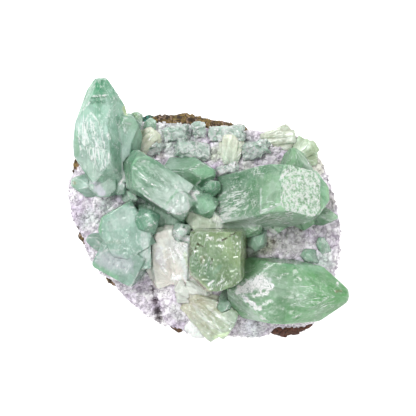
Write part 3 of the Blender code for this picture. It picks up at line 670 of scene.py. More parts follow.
clusters = {
    "oliveCrystal": dict(
        node="apophyllite_olive_centre", finish="oliveApophyllite", slot="olive_apophyllite", cell=0.23,
        rootTint=tone(118, 146, 98), bodyTint=oliveGreen, tipTint=oliveGreen, edgeTint=tone(154, 174, 122),
        wear=0.18,
        crystals=[
            prism(
                (2.6, -9.7, 33), (4.6, -9.4, 12), (18.4, 16.0), -9, (9.9, 10.1, 9.9, 6.9),
                edges=(9.3, 11.6, 11.2, 8.4), shoulder=0.6, taper=4,
                more=(((1.7, -19.4, 20), (0.39, -0.92, 0.0)),),
            ),
        ],
        marks=[
            # the white stroke along x -5.9 is painted light on the olive crystal's left flank, which lies in
            # shade beside the centre sheaf
            ("white", (-5.9, -5.0, -5.9, -13.4, 0.8, 0.9)),
            ("brown", (-0.9, -8.6, -0.9, -10.2, 0.9, 0.35)),
            ("yellow", (-4.4, -13.7, 0.8, -17.8, 0.9, 0.5)),
            ("brown", (-4.6, -14.1, 0.4, -18.2, 0.5, 1.0)),
            ("sea", (2.3, -13.1, 4.2, -11.0, 0.8, 0.25)),
            ("deep", (0.4, -11.0, 1.8, -15.4, 2.4, 0.5), (-3.4, -8.5, -2.8, -13.2, 1.8, 0.4)),
            ("yellow", (10.9, -3.4, 11.3, -14.0, 0.9, 0.45), (4.0, -1.8, 9.0, -8.0, 4.0, 0.22)),
            ("streaks", (2.0, -16.4, 8.0, -13.4, 2.6, 0.5), (-2.4, -2.4, 3.6, -3.4, 2.0, 0.4)),
            (
                "frost", (0.7, -16.4, 2.1, -15.3, 0.5, 0.9), (3.2, -16.3, 5.2, -15.1, 0.45, 0.9),
                (1.3, -17.7, 1.8, -17.4, 0.4, 0.8), (0.1, -3.1, 1.7, -3.1, 0.6, 0.8),
                (3.4, -3.5, 4.6, -3.5, 0.5, 0.75), (3.8, -5.0, 4.4, -5.1, 0.5, 1.0),
                (-0.4, -0.4, 1.4, 0.2, 0.6, 0.7),
            ),
            (
                "rust", (-2.5, -4.6, -0.9, -5.4, 0.42, 1.0), (4.8, -3.5, 8.6, -1.3, 0.45, 1.0),
                (-4.5, -5.8, -4.1, -6.8, 0.42, 0.9), (-3.0, -5.4, -2.9, -6.4, 0.36, 0.9),
                (-4.6, -3.3, -4.5, -8.0, 0.5, 0.75), (1.9, -8.7, 1.5, -10.4, 0.4, 1.0),
                (-2.9, -9.0, -2.8, -9.5, 0.36, 0.8), (-2.9, -15.4, -0.4, -17.4, 0.6, 1.0),
            ),
        ],
    ),
    "rightBlock": dict(
        node="apophyllite_right_block", rootTint=tone(170, 204, 180), bodyTint=tone(124, 171, 132),
        tipTint=tone(166, 216, 168), edgeTint=tone(112, 172, 122), wear=0.2,
        crystals=[
            prism(
                (27.5, 10.8, 33), (9.7, 6.6, 12), (15.0, 17.0), -20, (8.4, 9.0, 8.6, 8.8), shoulder=0.7,
                taper=4, frost=0.76,
            ),
            prism((26.0, 23.4, 23), (27.6, 10.8, 12), (9.0, 8.0), 40, (0.7,)),
            prism((20.7, -1.4, 19), (22.8, 6.3, 13), (8.5, 7.5), 20, (1.2,)),
            prism((40.0, 2.9, 16.5), (30.8, 4.0, 13), (4.6, 4.4), 45, (0.5,)),
            prism((16.6, 0.4, 20), (1.8, 1.2, 14), (6.4, 6.0), 30, (1.5,)),
            prism((29.4, 0.6, 17), (30.0, 6.2, 12.5), (7.0, 6.0), 12, (2.2,)),
            prism((30.2, 10.6, 28.8), (13.4, 6.2, 8.0), (13.4, 16.6), -15, (7.2,)),
            # this low crystal between taller ones has near-white tints: painted light that lifts the shade
            # its neighbours cast on it
            prism(
                (-0.4, 1.6, 20.4), (0.2, 2.0, 11.0), (12.6, 8.6), 6, (5.4,), wear=0.2,
                tipTint=tone(238, 255, 226), bodyTint=tone(236, 255, 224), rootTint=tone(236, 255, 224),
                edgeTint=tone(228, 255, 214),
            ),
        ],
        marks=[
            ("white", (4.4, 1.7, 13.2, 1.5, 2.6, 0.5), (13.6, 1.6, 22.6, 1.2, 2.2, 0.35)),
            (
                "deep", (5.2, 14.2, 21.4, 18.2, 2.6, 0.6), (4.6, 12.0, 12.6, 14.4, 2.0, 0.4),
                (20.2, 17.4, 19.8, 9.0, 1.8, 0.3),
            ),
            (
                "white", (15.9, 11.2, 15.8, 4.5, 0.4, 0.6), (15.8, 4.5, 21.4, 7.0, 0.45, 0.6),
                (21.2, 13.9, 23.8, 16.8, 0.4, 0.7), (14.6, 1.8, 18.2, 3.9, 0.4, 0.7),
                (18.4, 8.2, 19.0, 12.6, 1.6, 0.18),
            ),
            ("green", (34.2, 16.6, 34.9, 7.9, 1.5, 0.7)),
            ("white", (18.6, -0.8, 21.0, -2.2, 1.3, 1.0)),
            ("streaks", (3.6, 3.2, 9.0, 8.2, 4.6, 1.0), (14.0, 2.0, 20.0, 3.0, 2.4, 0.6)),
            (
                "frost", (4.2, 9.6, 8.4, 12.0, 0.5, 0.75), (2.6, 2.2, 5.2, 6.4, 0.45, 0.75),
                (4.8, 2.4, 8.4, 6.2, 0.4, 0.7), (3.0, 6.6, 7.0, 9.6, 0.4, 0.7),
                (6.4, 3.6, 10.6, 8.4, 0.35, 0.6), (9.0, 3.4, 12.4, 6.6, 0.35, 0.55),
                (10.0, 7.4, 13.6, 11.4, 0.35, 0.45), (23.0, 4.5, 25.1, 2.5, 0.5, 0.8),
                (31.5, 2.1, 32.4, 3.0, 0.4, 0.8), (26.0, 14.4, 30.4, 13.8, 1.2, 0.5),
                (18.6, -0.8, 21.0, -2.2, 1.4, 1.0), (22.0, 6.4, 24.8, 4.0, 0.5, 0.75),
            ),
            (
                "dark", (22.6, 19.0, 21.3, 15.8, 0.35, 0.5), (21.2, 13.4, 21.6, 7.0, 0.4, 0.35),
                (28.8, 0.6, 29.6, -1.2, 0.5, 0.6),
            ),
        ],
    ),
    "lowerLeftCrystals": dict(
        node="apophyllite_lower_left", rootTint=paleMint, bodyTint=tone(176, 209, 194),
        tipTint=tone(164, 201, 184), edgeTint=tone(104, 168, 136), wear=0.08,
        crystals=[
            prism(
                (-24.0, -1.5, 26), (-24.7, -0.9, 11), (13.0, 14.6), -19, (8.0, 7.3, 7.3, 8.0),
                edges=(noEdge, 8.0, 8.4, noEdge),
            ),
            prism((-26.2, -10.4, 24.4), (-23.5, -8.5, 11), (13.9, 9.9), 27, (7.6,)),
            prism((-36.2, -3.6, 16), (-30.8, -4.9, 13.5), (4.8, 4.4), 30, (0.8,)),
            prism(
                (-17.2, 2.4, 28.5), (-18.2, 0.8, 12), (6.8, 6.4), 15, (1.8,), tipTint=seaGreen,
                bodyTint=seaGreen,
            ),
            prism((-20.8, -7.4, 24.8), (-20.8, -7.0, 11), (9.0, 9.8), 0, (6.3,)),
        ],
        marks=[
            ("green", (-31.3, -1.0, -30.7, 3.4, 0.7, 0.8), (-30.7, 3.4, -21.6, 8.9, 0.8, 0.8)),
            ("grey", (-28.9, -4.3, -25.6, -4.3, 0.8, 0.6)),
            ("white", (-32.6, -8.8, -29.6, -6.6, 0.4, 0.6), (-29.6, -6.6, -25.5, -6.6, 0.4, 0.4)),
            ("lilac", (-30.2, -9.6, -24.0, -11.0, 3.6, 0.55)),
            ("white", (-18.0, -2.3, -17.9, -9.0, 1.5, 0.55)),
            ("green", (-33.2, -11.6, -27.0, -14.9, 1.3, 0.7)),
            ("white", (-27.4, 0.8, -23.0, 3.8, 2.6, 0.28)),
            ("streaks", (-28.6, -9.2, -24.0, -11.6, 2.6, 0.5)),
            (
                "frost", (-18.9, -11.8, -18.6, -12.5, 0.4, 0.9), (-17.2, 1.8, -16.0, 0.8, 0.5, 0.7),
                (-15.3, 1.8, -14.9, 1.1, 0.4, 0.9), (-17.9, 4.0, -17.0, 3.4, 0.4, 0.7),
            ),
            (
                "dark", (-31.5, -0.6, -30.9, 3.2, 0.35, 0.5), (-29.2, -4.9, -27.6, -5.9, 0.35, 0.25),
                (-15.4, -0.4, -15.2, -1.4, 0.35, 0.6),
            ),
        ],
    ),
    "upperMiddleCrystals": dict(
        node="apophyllite_upper_middle", rootTint=paleMint, bodyTint=tone(127, 171, 143),
        tipTint=tone(104, 164, 124), edgeTint=tone(106, 170, 128), wear=0.14,
        crystals=[
            prism(
                (-23.9, 18.6, 24.4), (-8.4, 8.4, 19), (10.8, 15.0), 6, (6.6, 6.2, 6.2, 3.6),
                more=(((-24.0, 12.0, 20), (-0.96, -0.08, 0.26)),),
            ),
            prism((-8.1, 7.4, 27.5), (-7.8, 5.8, 12), (7.6, 7.6), 45, (2.9,), tipTint=paleMint),
            prism(
                (2.6, 16.3, 20.5), (-11.5, 16.4, 14), (7.4, 7.0), 35, (1.0,), bodyTint=tone(134, 180, 144),
                tipTint=tone(112, 172, 120),
            ),
            prism((3.6, 13.0, 21.5), (-2.6, 9.6, 14), (4.6, 4.6), 20, (0.9,)),
            prism((-0.3, 7.0, 23.5), (-1.2, 5.6, 12), (7.2, 6.6), 12, (2.6,)),
            prism((-13.2, 2.6, 18.6), (-12.6, 4.4, 11.0), (9.0, 15.0), -62, (5.6,), tipTint=mint),
            prism(
                (-3.4, 10.4, 23.6), (-4.6, 8.6, 12), (5.4, 5.0), 30, (1.2,), tipTint=mint, bodyTint=mint,
                edgeTint=tone(140, 196, 158), wear=0.5,
            ),
        ],
        marks=[
            ("white", (-16.4, 8.2, -13.2, 5.9, 0.4, 0.7)),
            (
                "green", (-21.6, 18.2, -19.6, 20.6, 0.5, 0.9), (-19.6, 20.6, -16.6, 20.6, 0.5, 0.9),
                (-23.6, 18.6, -23.4, 12.6, 1.2, 0.8), (-11.6, 6.8, -8.2, 11.2, 0.5, 0.7),
            ),
            (
                "white", (-8.0, 11.2, -4.2, 8.0, 0.5, 0.6), (-4.2, 4.8, -2.9, 2.2, 0.4, 0.6),
                (-11.2, 5.4, -10.0, 5.8, 0.5, 0.8), (-9.4, 5.6, -5.6, 6.8, 1.8, 0.4),
            ),
            ("green", (-2.2, 7.6, 1.8, 6.0, 2.6, 0.6), (-2.0, 16.8, 2.0, 16.2, 2.2, 0.6)),
            ("deep", (-23.4, 18.2, -22.0, 12.0, 2.6, 0.5)),
            ("white", (-4.6, 10.6, -3.4, 8.2, 1.0, 0.5)),
            ("streaks", (-20.0, 16.0, -14.0, 12.0, 3.0, 0.45)),
            (
                "frost", (-18.4, 11.3, -16.4, 9.6, 0.36, 1.0), (-18.6, 10.2, -16.4, 8.2, 0.36, 1.0),
                (-17.4, 6.8, -15.4, 6.8, 0.4, 0.6), (-21.2, 17.6, -20.4, 17.2, 0.4, 0.6),
                (-11.3, 4.3, -10.0, 4.7, 0.45, 1.0), (-10.0, 4.3, -7.6, 4.1, 0.4, 0.9),
                (-7.6, 4.2, -5.2, 5.1, 0.4, 0.7), (-8.4, 8.0, -8.7, 7.4, 0.5, 1.0),
                (-9.1, 12.4, -8.4, 11.7, 0.5, 0.8), (-4.4, 10.7, -2.4, 10.3, 0.7, 0.8),
                (-3.5, 9.2, -3.1, 8.6, 0.5, 0.8), (-4.4, 10.2, -3.2, 8.6, 0.6, 0.9),
            ),
            ("dark", (-2.8, 7.4, -2.5, 6.9, 0.4, 0.5)),
        ],
    ),
    "leftPoint": dict(
        node="apophyllite_left_point", rootTint=paleMint, bodyTint=tone(204, 232, 222),
        tipTint=tone(84, 172, 126), edgeTint=tone(84, 172, 128), wear=0.12,
        crystals=[
            prism(
                (-31.6, 43.8, 26), (-30.8, 13.4, 13.5), (13.2, 13.0), -28, (1.0, 1.3, 2.4, 1.4), foot=3.5,
                shoulder=0.42, taper=7,
            ),
            prism((-23.4, 33.4, 22), (-26.3, 15.9, 13.5), (8.2, 7.6), -20, (1.8,), tipTint=mint),
            prism(
                (-20.6, 34.4, 19.5), (-22.4, 27.4, 16), (3.8, 3.6), 10, (1.0,), tipTint=tone(186, 216, 166),
            ),
            prism((-31.2, 12.2, 18.5), (-30.4, 14.6, 11), (8.2, 6.8), 20, (3.4,), tipTint=paleMint),
            prism((-40.8, 13.6, 15.8), (-33.6, 12.6, 13), (5.8, 5.2), 42, (1.1,), tipTint=mint),
            prism((-25.8, 10.6, 17.4), (-27.0, 15.0, 12.5), (4.8, 4.4), 35, (1.1,), tipTint=paleMint),
        ],
        marks=[
            ("yellow", (-24.3, 35.9, -24.0, 33.9, 0.8, 0.9)),
            ("green", (-25.2, 32.9, -24.1, 31.0, 0.4, 0.5)),
            ("white", (-24.1, 31.0, -22.4, 30.7, 0.4, 0.6)),
            ("lilac", (-33.0, 12.8, -31.5, 10.3, 1.9, 0.95)),
            ("brown", (-40.1, 13.6, -39.9, 13.2, 0.6, 0.6)),
            ("green", (-38.4, 28.0, -38.6, 22.0, 1.0, 0.5)),
            ("white", (-28.6, 20.0, -26.0, 16.0, 2.4, 0.25)),
            ("streaks", (-35.4, 29.0, -31.0, 19.6, 4.6, 0.95)),
            (
                "frost", (-33.4, 38.6, -29.0, 39.0, 0.4, 0.7), (-33.6, 37.6, -36.2, 34.7, 0.36, 0.8),
                (-33.8, 33.9, -36.2, 31.0, 0.4, 0.7), (-33.8, 33.9, -31.2, 30.7, 0.36, 0.8),
                (-31.2, 30.7, -30.4, 28.5, 0.36, 0.7), (-33.9, 32.2, -33.8, 28.0, 0.4, 0.75),
                (-33.8, 28.0, -32.7, 25.3, 0.45, 0.78), (-32.7, 25.3, -31.5, 20.2, 0.4, 0.75),
                (-31.0, 29.0, -30.0, 23.9, 0.36, 0.7), (-37.4, 29.0, -38.0, 27.1, 0.36, 0.7),
                (-38.0, 27.1, -36.9, 20.9, 0.42, 0.75), (-28.7, 27.3, -28.5, 26.3, 0.55, 1.0),
                (-27.6, 24.8, -26.3, 23.6, 0.36, 0.7), (-31.5, 23.6, -29.8, 21.9, 0.36, 0.7),
                (-24.6, 15.5, -26.1, 13.0, 0.5, 0.9),
            ),
            (
                "dark", (-33.7, 38.1, -29.5, 38.5, 0.42, 0.75), (-33.9, 36.8, -30.0, 36.9, 0.5, 0.6),
                (-33.6, 40.8, -35.4, 36.6, 0.4, 0.35), (-26.6, 13.5, -27.1, 9.8, 0.45, 0.5),
            ),
            ("rust", (-21.4, 33.6, -21.2, 33.2, 0.4, 0.6)),
        ],
    ),
    "lowerRightPoint": dict(
        node="apophyllite_lower_right_point", soft=0.28, rootTint=tone(140, 184, 146),
        bodyTint=tone(126, 180, 130), tipTint=freshGreen, edgeTint=leafGreen, wear=0.14,
        crystals=[
            prism(
                (42.7, -20.5, 21), (6.9, -18.2, 15.5), (18.7, 15.0), 3, (1.5,), foot=4.0, shoulder=0.5,
                taper=5,
            ),
        ],
        marks=[
            ("lilac", (10.6, -18.2, 18.0, -16.2, 2.4, 0.6), (10.8, -20.2, 15.4, -23.8, 1.0, 0.6)),
            ("brown", (38.5, -18.9, 40.2, -18.9, 0.6, 0.7)),
            ("grey", (7.3, -20.2, 14.8, -27.4, 1.8, 0.8)),
            ("green", (22.3, -9.4, 34.0, -11.6, 2.6, 0.5)),
            ("grey", (20.0, -17.0, 28.0, -20.0, 5.0, 0.35)),
            ("streaks", (28.0, -22.0, 36.0, -24.0, 4.0, 0.5)),
            # the wide patches at the start of this list are painted white: a painted silvery reflection on
            # the face near the root, with frost
            (
                "frost", (10.2, -18.6, 16.8, -15.4, 2.7, 1.0), (12.6, -17.2, 19.0, -17.6, 2.0, 1.0),
                (10.8, -20.2, 15.6, -24.2, 1.1, 1.0), (14.1, -20.4, 18.3, -19.2, 0.9, 1.0),
                (15.0, -23.6, 19.2, -21.8, 0.8, 0.78), (18.1, -10.7, 18.8, -12.0, 0.5, 0.7),
                (20.4, -14.4, 21.8, -14.7, 0.7, 0.75), (22.6, -13.8, 24.3, -13.6, 0.5, 0.65),
                (26.6, -14.4, 28.0, -15.3, 0.4, 0.7), (39.1, -16.7, 39.4, -17.2, 0.6, 1.0),
                (16.4, -26.6, 17.2, -27.2, 0.6, 0.75),
            ),
            ("dark", (8.0, -19.4, 12.8, -24.4, 0.4, 0.35), (32.3, -22.6, 32.6, -23.2, 0.4, 0.4)),
        ],
    ),
    "innerPair": dict(
        node="apophyllite_inner_pair", cell=0.2, rootTint=tone(236, 250, 242), bodyTint=tone(232, 248, 238),
        tipTint=tone(222, 246, 232), edgeTint=tone(200, 236, 216), wear=0.6,
        crystals=[
            prism((-7.6, -1.4, 23.6), (-6.6, -2.0, 12.5), (5.4, 5.0), 25, (1.3,)),
            prism((-4.9, -3.8, 22.4), (-5.6, -3.2, 12.5), (4.4, 4.2), 50, (1.1,)),
        ],
        marks=[
            (
                "frost", (-8.8, -2.4, -6.2, -3.2, 0.8, 1.0), (-7.4, -0.4, -6.0, -1.0, 0.6, 1.0),
                (-5.4, -3.4, -4.0, -4.6, 0.8, 1.0), (-9.4, -1.0, -8.8, -1.6, 0.5, 1.0),
            ),
            (
                "dark", (-9.0, -1.6, -8.4, -1.0, 0.34, 1.0), (-6.9, -0.1, -6.5, 0.2, 0.34, 1.0),
                (-5.5, -2.0, -5.0, -2.3, 0.4, 1.0), (-7.9, -3.7, -7.5, -3.8, 0.34, 0.8),
            ),
        ],
    ),
}

smallCell = 0.2
smallCrystals = {  # lone small crystals in the gaps and at the rim
    "left_gap": prism((-21.2, 8.4, 17), (-24.4, 9.8, 12.5), (3.6, 3.4), 20, (0.7,)),
    "top_rim": prism((-16.6, 32.6, 15.0), (-17.8, 28.6, 12), (3.4, 3.2), 25, (1.1,)),
    "lower_gap": prism((4.6, -25.2, 17.5), (7.6, -20.4, 13), (4.2, 3.8), 30, (0.8,)),
    "centre_gap": prism((14.6, -5.6, 18.5), (16.2, -2.2, 12), (5.2, 4.8), 30, (1.4,)),
    "right_gap": prism((29.6, -8.2, 15.6), (33.4, -9.6, 12), (4.0, 3.6), 30, (1.0,)),
    "right_rim": prism((34.6, -3.6, 15.5), (36.6, -7.6, 12), (3.2, 3.0), 10, (0.8,)),
}

etchedCrystals = {  # low etched crystals half sunk in the crust
    "etched1": prism((-13.8, 25.8, 15.6), (-17.6, 22.6, 12.5), (4.4, 4.0), 30, (1.4,)),
    "etched2": prism((-5.4, 29.0, 15), (-13.0, 28.0, 12.5), (4.8, 4.4), 15, (2.4,)),
    "etched3": prism((-2.4, 31.4, 15), (-2.2, 27.4, 12.5), (4.4, 4.2), 10, (2.0,)),
    "etched4": prism((-9.4, 24.4, 16.5), (0.8, 22.6, 13), (5.6, 5.2), 20, (2.8,)),
    "etched5": prism((11.8, 28.8, 14.8), (0.8, 28.2, 12.5), (4.8, 4.4), 10, (2.4,)),
    "etched6": prism((19.2, 24.6, 16.2), (11.0, 23.2, 13), (5.0, 4.8), 25, (1.8,)),
    "etched7": prism((9.3, 18.5, 18.6), (3.3, 16.7, 14), (3.0, 2.8), 8, (1.2,)),
}

etchedMarks = {
    "etched7": [("white", (4.4, 16.4, 8.8, 18.9, 1.3, 1.0)), ("frost", (4.4, 16.4, 8.8, 18.9, 1.3, 1.0))],
    "etched4": [
        ("green", (-8.6, 25.4, -6.6, 24.6, 1.2, 0.5)),
        ("frost", (-6.0, 23.6, -1.0, 22.0, 1.4, 0.8)),
    ],
    "etched6": [("frost", (13.6, 24.0, 17.0, 22.4, 1.2, 0.8))],
}

for label, piece in clusters.items():
    growCluster(label, piece)
for label, crystal in smallCrystals.items():
    first, last = label.split("_")
    growCluster(first + last.capitalize() + "Crystal", dict(
        node="apophyllite_" + label, cell=smallCell, crystals=[crystal],
        rootTint=paleMint, bodyTint=mint, tipTint=mint, edgeTint=tone(150, 202, 168),
    ))
for label, crystal in etchedCrystals.items():
    growCluster(label + "Crystal", dict(
        node="apophyllite_etched_" + label[-1], finish="paleApophyllite", slot="pale_apophyllite",
        cell=smallCell, soft=0.7, rough=0.5, flakes=0.2, wear=0.3,
        # the flank-shade tint here is a little lighter than the tops: painted light on flanks that lie in
        # shade
        rootTint=tone(228, 238, 232), bodyTint=tone(224, 238, 230), tipTint=tone(220, 236, 228),
        edgeTint=tone(226, 242, 234), crystals=[crystal], marks=etchedMarks.get(label, ()),
    ))


# stilbite: fans of thin blades

sheaves = {
    "centreSheaf": dict(
        node="stilbite_centre_sheaf", root=(-10.4, -16.6, 13.0), length=18.0,
        tints=(tone(236, 228, 218), tone(238, 236, 226)),
        marks=[
            # the narrow white stroke along x -5.9 and the yellow one beside it are painted light on the
            # sheaf's wall facing the olive crystal, which lies in shade
            ("white", (-9.8, -5.0, -6.0, -10.0, 3.4, 0.6), (-5.9, -5.6, -5.9, -15.4, 1.6, 1.0)),
            ("yellow", (-6.2, -8.0, -5.6, -12.0, 0.8, 0.5)),
            ("lilac", (-14.4, -6.4, -13.0, -12.0, 1.6, 0.5)),
            (
                "frost", (-8.6, -4.8, -5.4, -5.8, 1.4, 0.7), (-11.8, -7.2, -9.8, -7.4, 0.9, 0.7),
                (-12.2, -9.8, -9.4, -8.2, 0.7, 0.7), (-14.7, -9.2, -13.9, -8.8, 0.5, 0.8),
                (-9.8, -15.2, -8.2, -15.2, 1.5, 1.0), (-5.8, -11.6, -5.2, -12.3, 0.5, 1.0),
                (-7.4, -5.4, -6.0, -8.6, 0.8, 0.7), (-9.2, -6.4, -7.2, -9.4, 0.9, 1.0),
                (-10.8, -6.2, -9.6, -10.6, 0.5, 1.0), (-13.4, -11.4, -12.2, -13.2, 0.5, 1.0),
            ),
        ],
    ),
    "lowerFan": dict(
        node="stilbite_lower_fan", root=(-5.6, -22.6, 13.6), length=15.2,
        tints=(tone(186, 178, 147), tone(157, 173, 143)),
        marks=[
            ("green", (6.0, -25.4, 9.4, -29.0, 2.2, 0.22)),
            ("yellow", (3.0, -33.4, 8.8, -31.4, 0.8, 0.6)),
            (
                "white", (-3.6, -24.0, 2.0, -30.4, 0.9, 0.4), (0.6, -24.4, 7.4, -29.6, 0.6, 0.4),
                (1.6, -27.0, 4.4, -31.6, 0.5, 0.4),
            ),
            ("brown", (-1.2, -22.6, 3.6, -23.4, 1.2, 0.25)),
        ],
    ),
    "whiteLobe": dict(
        node="stilbite_white_lobe", root=(-1.4, -27.6, 13.0), length=6.2,
        tints=(tone(230, 230, 226), tone(236, 238, 236)),
    ),
    "greyFan": dict(
        node="stilbite_grey_fan", root=(0.4, -22.0, 13.4), length=10.6,
        tints=(tone(196, 197, 184), tone(204, 208, 198)),
    ),
    "upperLeftSheaf": dict(
        node="stilbite_upper_left", root=(-21.0, 23.4, 13.0), length=8.6,
        tints=(tone(214, 210, 184), tone(204, 208, 184)),
    ),
    "upperMiddleSheaf": dict(
        node="stilbite_upper_middle", root=(7.2, 19.4, 13.0), length=9.0,
        tints=(tone(212, 228, 204), tone(226, 230, 206)),
    ),
    "upperRightSheaf": dict(
        node="stilbite_upper_right", root=(17.4, 26.4, 12.0), length=10.0,
        tints=(tone(188, 193, 167), tone(190, 197, 174)),
    ),
    "rightRimSheaf": dict(
        node="stilbite_right_rim", root=(26.6, 20.6, 12.0), length=8.4,
        tints=(tone(174, 196, 154), tone(172, 190, 154)),
    ),
}


sheafCell, sheafRounds, sheafGlintStreaks = 0.22, 8, 0.3


def growSheaf(name, piece):
    mesh = gridCopy(piece["node"], sheafCell, sheafRounds)
    points = coordinates(mesh)
    normals = normalsOf(mesh)
    offset = points - np.array(piece["root"], float)
    reach = np.linalg.norm(offset, axis=1)
    turn = np.arctan2(offset[:, 1], offset[:, 0]) * 0.6 * piece["length"]
    rise = offset[:, 2]
    grain = np.stack([turn, reach, rise], axis=1)
    lines = lumps(grain / np.array([0.42, 9.0, 1.2]), 1.0, 3)
    broad = lumps(grain / np.array([1.6, 12.0, 2.5]), 1.0, 4)
    flaked = chips(grain / np.array([1.5, 4.0, 2.0]), 1.0, 8)
    wall = smooth(0.75, 0.35, abs(normals[:, 2])) * smooth(11.0, 12.0, points[:, 2])
    relief = 0.05 * lines + 0.10 * broad + 0.11 * flaked + 0.12 * layered(points, 3.0, 2, 7)
    points += (relief + contact * wall)[:, None] * normals
    share = np.clip(reach / piece["length"], 0, 1)[:, None]
    first, last = (np.array(shade) for shade in piece["tints"])
    tint = first * (1 - share) + last * share
    tint *= (1 + 0.05 * broad + 0.06 * lines + 0.03 * flaked)[:, None]
    tint = np.minimum(tint, 1.0)
    marks, wear = np.zeros_like(points), np.full(len(points), sheafGlintStreaks)
    finishMesh(mesh, points, tint, marks, grain, wear, piece.get("marks", ()))
    dressedPiece(name, mesh, materials["stilbiteBlades"], "stilbite", piece["node"])
    print(name, "with", len(mesh.polygons), "faces")


for label, piece in sheaves.items():
    growSheaf(label, piece)


# drusy crust


patchScale = 130.0  # faint lilac patches to a metre


def crustMaterial():
    material, tree, shader = newMaterial("drusyQuartz")
    place = add(tree, "ShaderNodeTexCoord").outputs["Object"]
    shade = attribute(tree, "shade").outputs["Fac"]
    stain = attribute(tree, "stain").outputs["Color"]
    patch = noiseAt(tree, place, patchScale, 3.0, 0.6)
    fine = noiseAt(tree, place, 1500.0, 3.0, 0.6)
    patched = between(tree, patch, 0.35, 0.65)
    colour = blended(tree, patched, rgba(242, 240, 241), rgba(232, 226, 237))
    # painted shade: where the shade attribute is low, in the gaps between the crust's lumps, the colour goes
    # to a darker grey
    grey = between(tree, plus(tree, shade, times(tree, fine, 0.5)), 0.30, 0.85)
    colour = blended(tree, grey, rgba(176, 169, 178), colour)
    colour = blended(tree, 1.0, colour, stain, "MULTIPLY")
    # painted glints on the crust: small facets painted near white
    sparks = placed(tree, glints, {"Vector": place, "Size": 0.24 * mm, "Amount": 0.07}).outputs
    colour = blended(tree, times(tree, sparks["Mask"], 0.6), colour, rgba(254, 253, 254))
    rough = between(tree, fine, 0.3, 0.7, 0.22, 0.5)
    height = plus(tree, fine, times(tree, sparks["Height"], 0.6))
    setInputs(tree, shader, {
        "Base Color": colour, "Roughness": rough, "IOR": quartzIor, "Subsurface Weight": 0.5,
        "Subsurface Radius": (1.0, 0.95, 1.0), "Subsurface Scale": 0.6 * mm,
        "Normal": bumped(tree, height, 0.6, 0.1 * mm),
    })
    return material


stains = (  # where the crust is not white: middle, half width, colour and how strong
    ((-16.2, -19.4), 1.2, tone(138, 124, 136), 0.9), ((-15.6, -22.6), 1.3, tone(128, 114, 124), 0.95),
    ((-14.8, -25.6), 1.5, tone(84, 74, 78), 0.95), ((-14.5, -28.4), 1.3, tone(96, 84, 86), 0.9),
    ((26.0, -4.0), 5.0, tone(206, 210, 202), 0.7), ((18.6, -5.6), 3.4, tone(198, 206, 178), 0.8),
    ((20.6, -4.4), 0.9, tone(84, 78, 60), 0.9), ((14.0, -7.4), 2.4, tone(150, 178, 146), 0.8),
    ((29.2, -0.9), 0.8, tone(90, 88, 72), 0.8), ((36.0, -10.0), 3.0, tone(190, 214, 198), 0.7),
    ((-36.4, 2.0), 3.4, tone(214, 228, 220), 0.6), ((-31.0, 6.4), 2.4, tone(208, 226, 216), 0.6),
    ((-4.0, -32.0), 3.0, tone(214, 220, 214), 0.6), ((-8.6, -26.0), 3.2, tone(206, 214, 206), 0.5),
    ((14.0, -31.0), 4.0, tone(214, 228, 220), 0.6), ((34.0, 20.0), 4.4, tone(222, 226, 204), 0.8),
    ((38.4, 8.0), 3.0, tone(214, 218, 200), 0.6), ((-22.4, 20.0), 3.0, tone(204, 212, 186), 0.6),
    ((0.0, 3.0), 11.0, tone(216, 240, 220), 0.9), ((-14.0, 22.0), 1.4, tone(190, 184, 176), 0.7),
    ((3.0, 22.0), 2.8, tone(194, 208, 184), 0.8), ((13.0, 19.6), 2.2, tone(204, 214, 196), 0.7),
    ((24.6, 18.4), 2.6, tone(176, 196, 158), 0.8), ((-12.0, 25.6), 1.6, tone(204, 218, 208), 0.7),
    ((9.4, 25.6), 1.4, tone(160, 160, 146), 0.7), ((5.6, 16.0), 1.6, tone(198, 214, 196), 0.7),
    ((-8.0, 27.4), 7.0, tone(222, 234, 226), 0.8), ((8.0, 26.4), 6.0, tone(222, 234, 226), 0.8),
    ((-20.0, 7.4), 2.6, tone(226, 244, 232), 0.9), ((-33.0, -10.6), 1.0, tone(60, 52, 46), 0.9),
    ((-39.6, -0.4), 0.8, tone(70, 60, 50), 0.9), ((-30.6, -17.0), 0.9, tone(60, 56, 50), 0.8),
    ((12.0, 31.0), 1.6, tone(206, 196, 200), 0.5),
)


def stainAndShadeAt(points):
    near, second = pebbles(points, 2.7, 27)
    # painted shade: the first part of crease is a darker lilac network along the creases between pebbles; the
    # second part lays random broad lilac patches
    crease = 0.3 * smooth(0.32, 0.02, second - near) + 0.6 * smooth(-0.2, 0.8, layered(points, 3.0, 3, 28))
    stain = 1 - np.clip(crease, 0, 1)[:, None] * (1 - np.array(tone(210, 200, 215)))
    for middle, reach, shade, strength in stains:
        away = np.linalg.norm(points[:, :2] - np.array(middle), axis=1)
        away += 0.35 * reach * lumps(points, reach * 0.8, 8)
        level = (smooth(reach * 1.25, reach * 0.5, away) * strength)[:, None]
        stain = stain * (1 - level) + np.array(shade) * level
    return stain


overhang, sheltered = 6.0, 0.35  # what is less than this far under a crystal keeps this share of its grains


def besideCrystals(points, reach):  # distance to the nearest crystal, and 1 where none stands above
    away, over = np.full(len(points), reach), np.ones(len(points))
    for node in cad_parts:
        if not node.startswith(("apophyllite", "stilbite")):
            continue
        low, high = (np.array(corner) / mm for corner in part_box(node))
        close = ((points > low - reach) & (points < high + reach))[:, :2].all(axis=1)
        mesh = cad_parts[node].data
        tree = BVHTree.FromPolygons([v.co / mm for v in mesh.vertices], [p.vertices for p in mesh.polygons])
        for index in np.nonzero(close)[0]:
            place = Vector(points[index])
            found = tree.find_nearest(place, reach)
            if found[0] is not None:
                away[index] = min(away[index], found[3])
            if tree.ray_cast(place, up, overhang)[0] is not None:
                over[index] = sheltered
    return away, over


lumpSize, clumpSize, cleftDepth, wallFill = 1.6, 3.1, 1.5, 0.45
clefts = (((-16.6, -18.4), (-15.6, -22.6), 0.9), ((-15.6, -22.6), (-14.4, -28.8), 1.2))


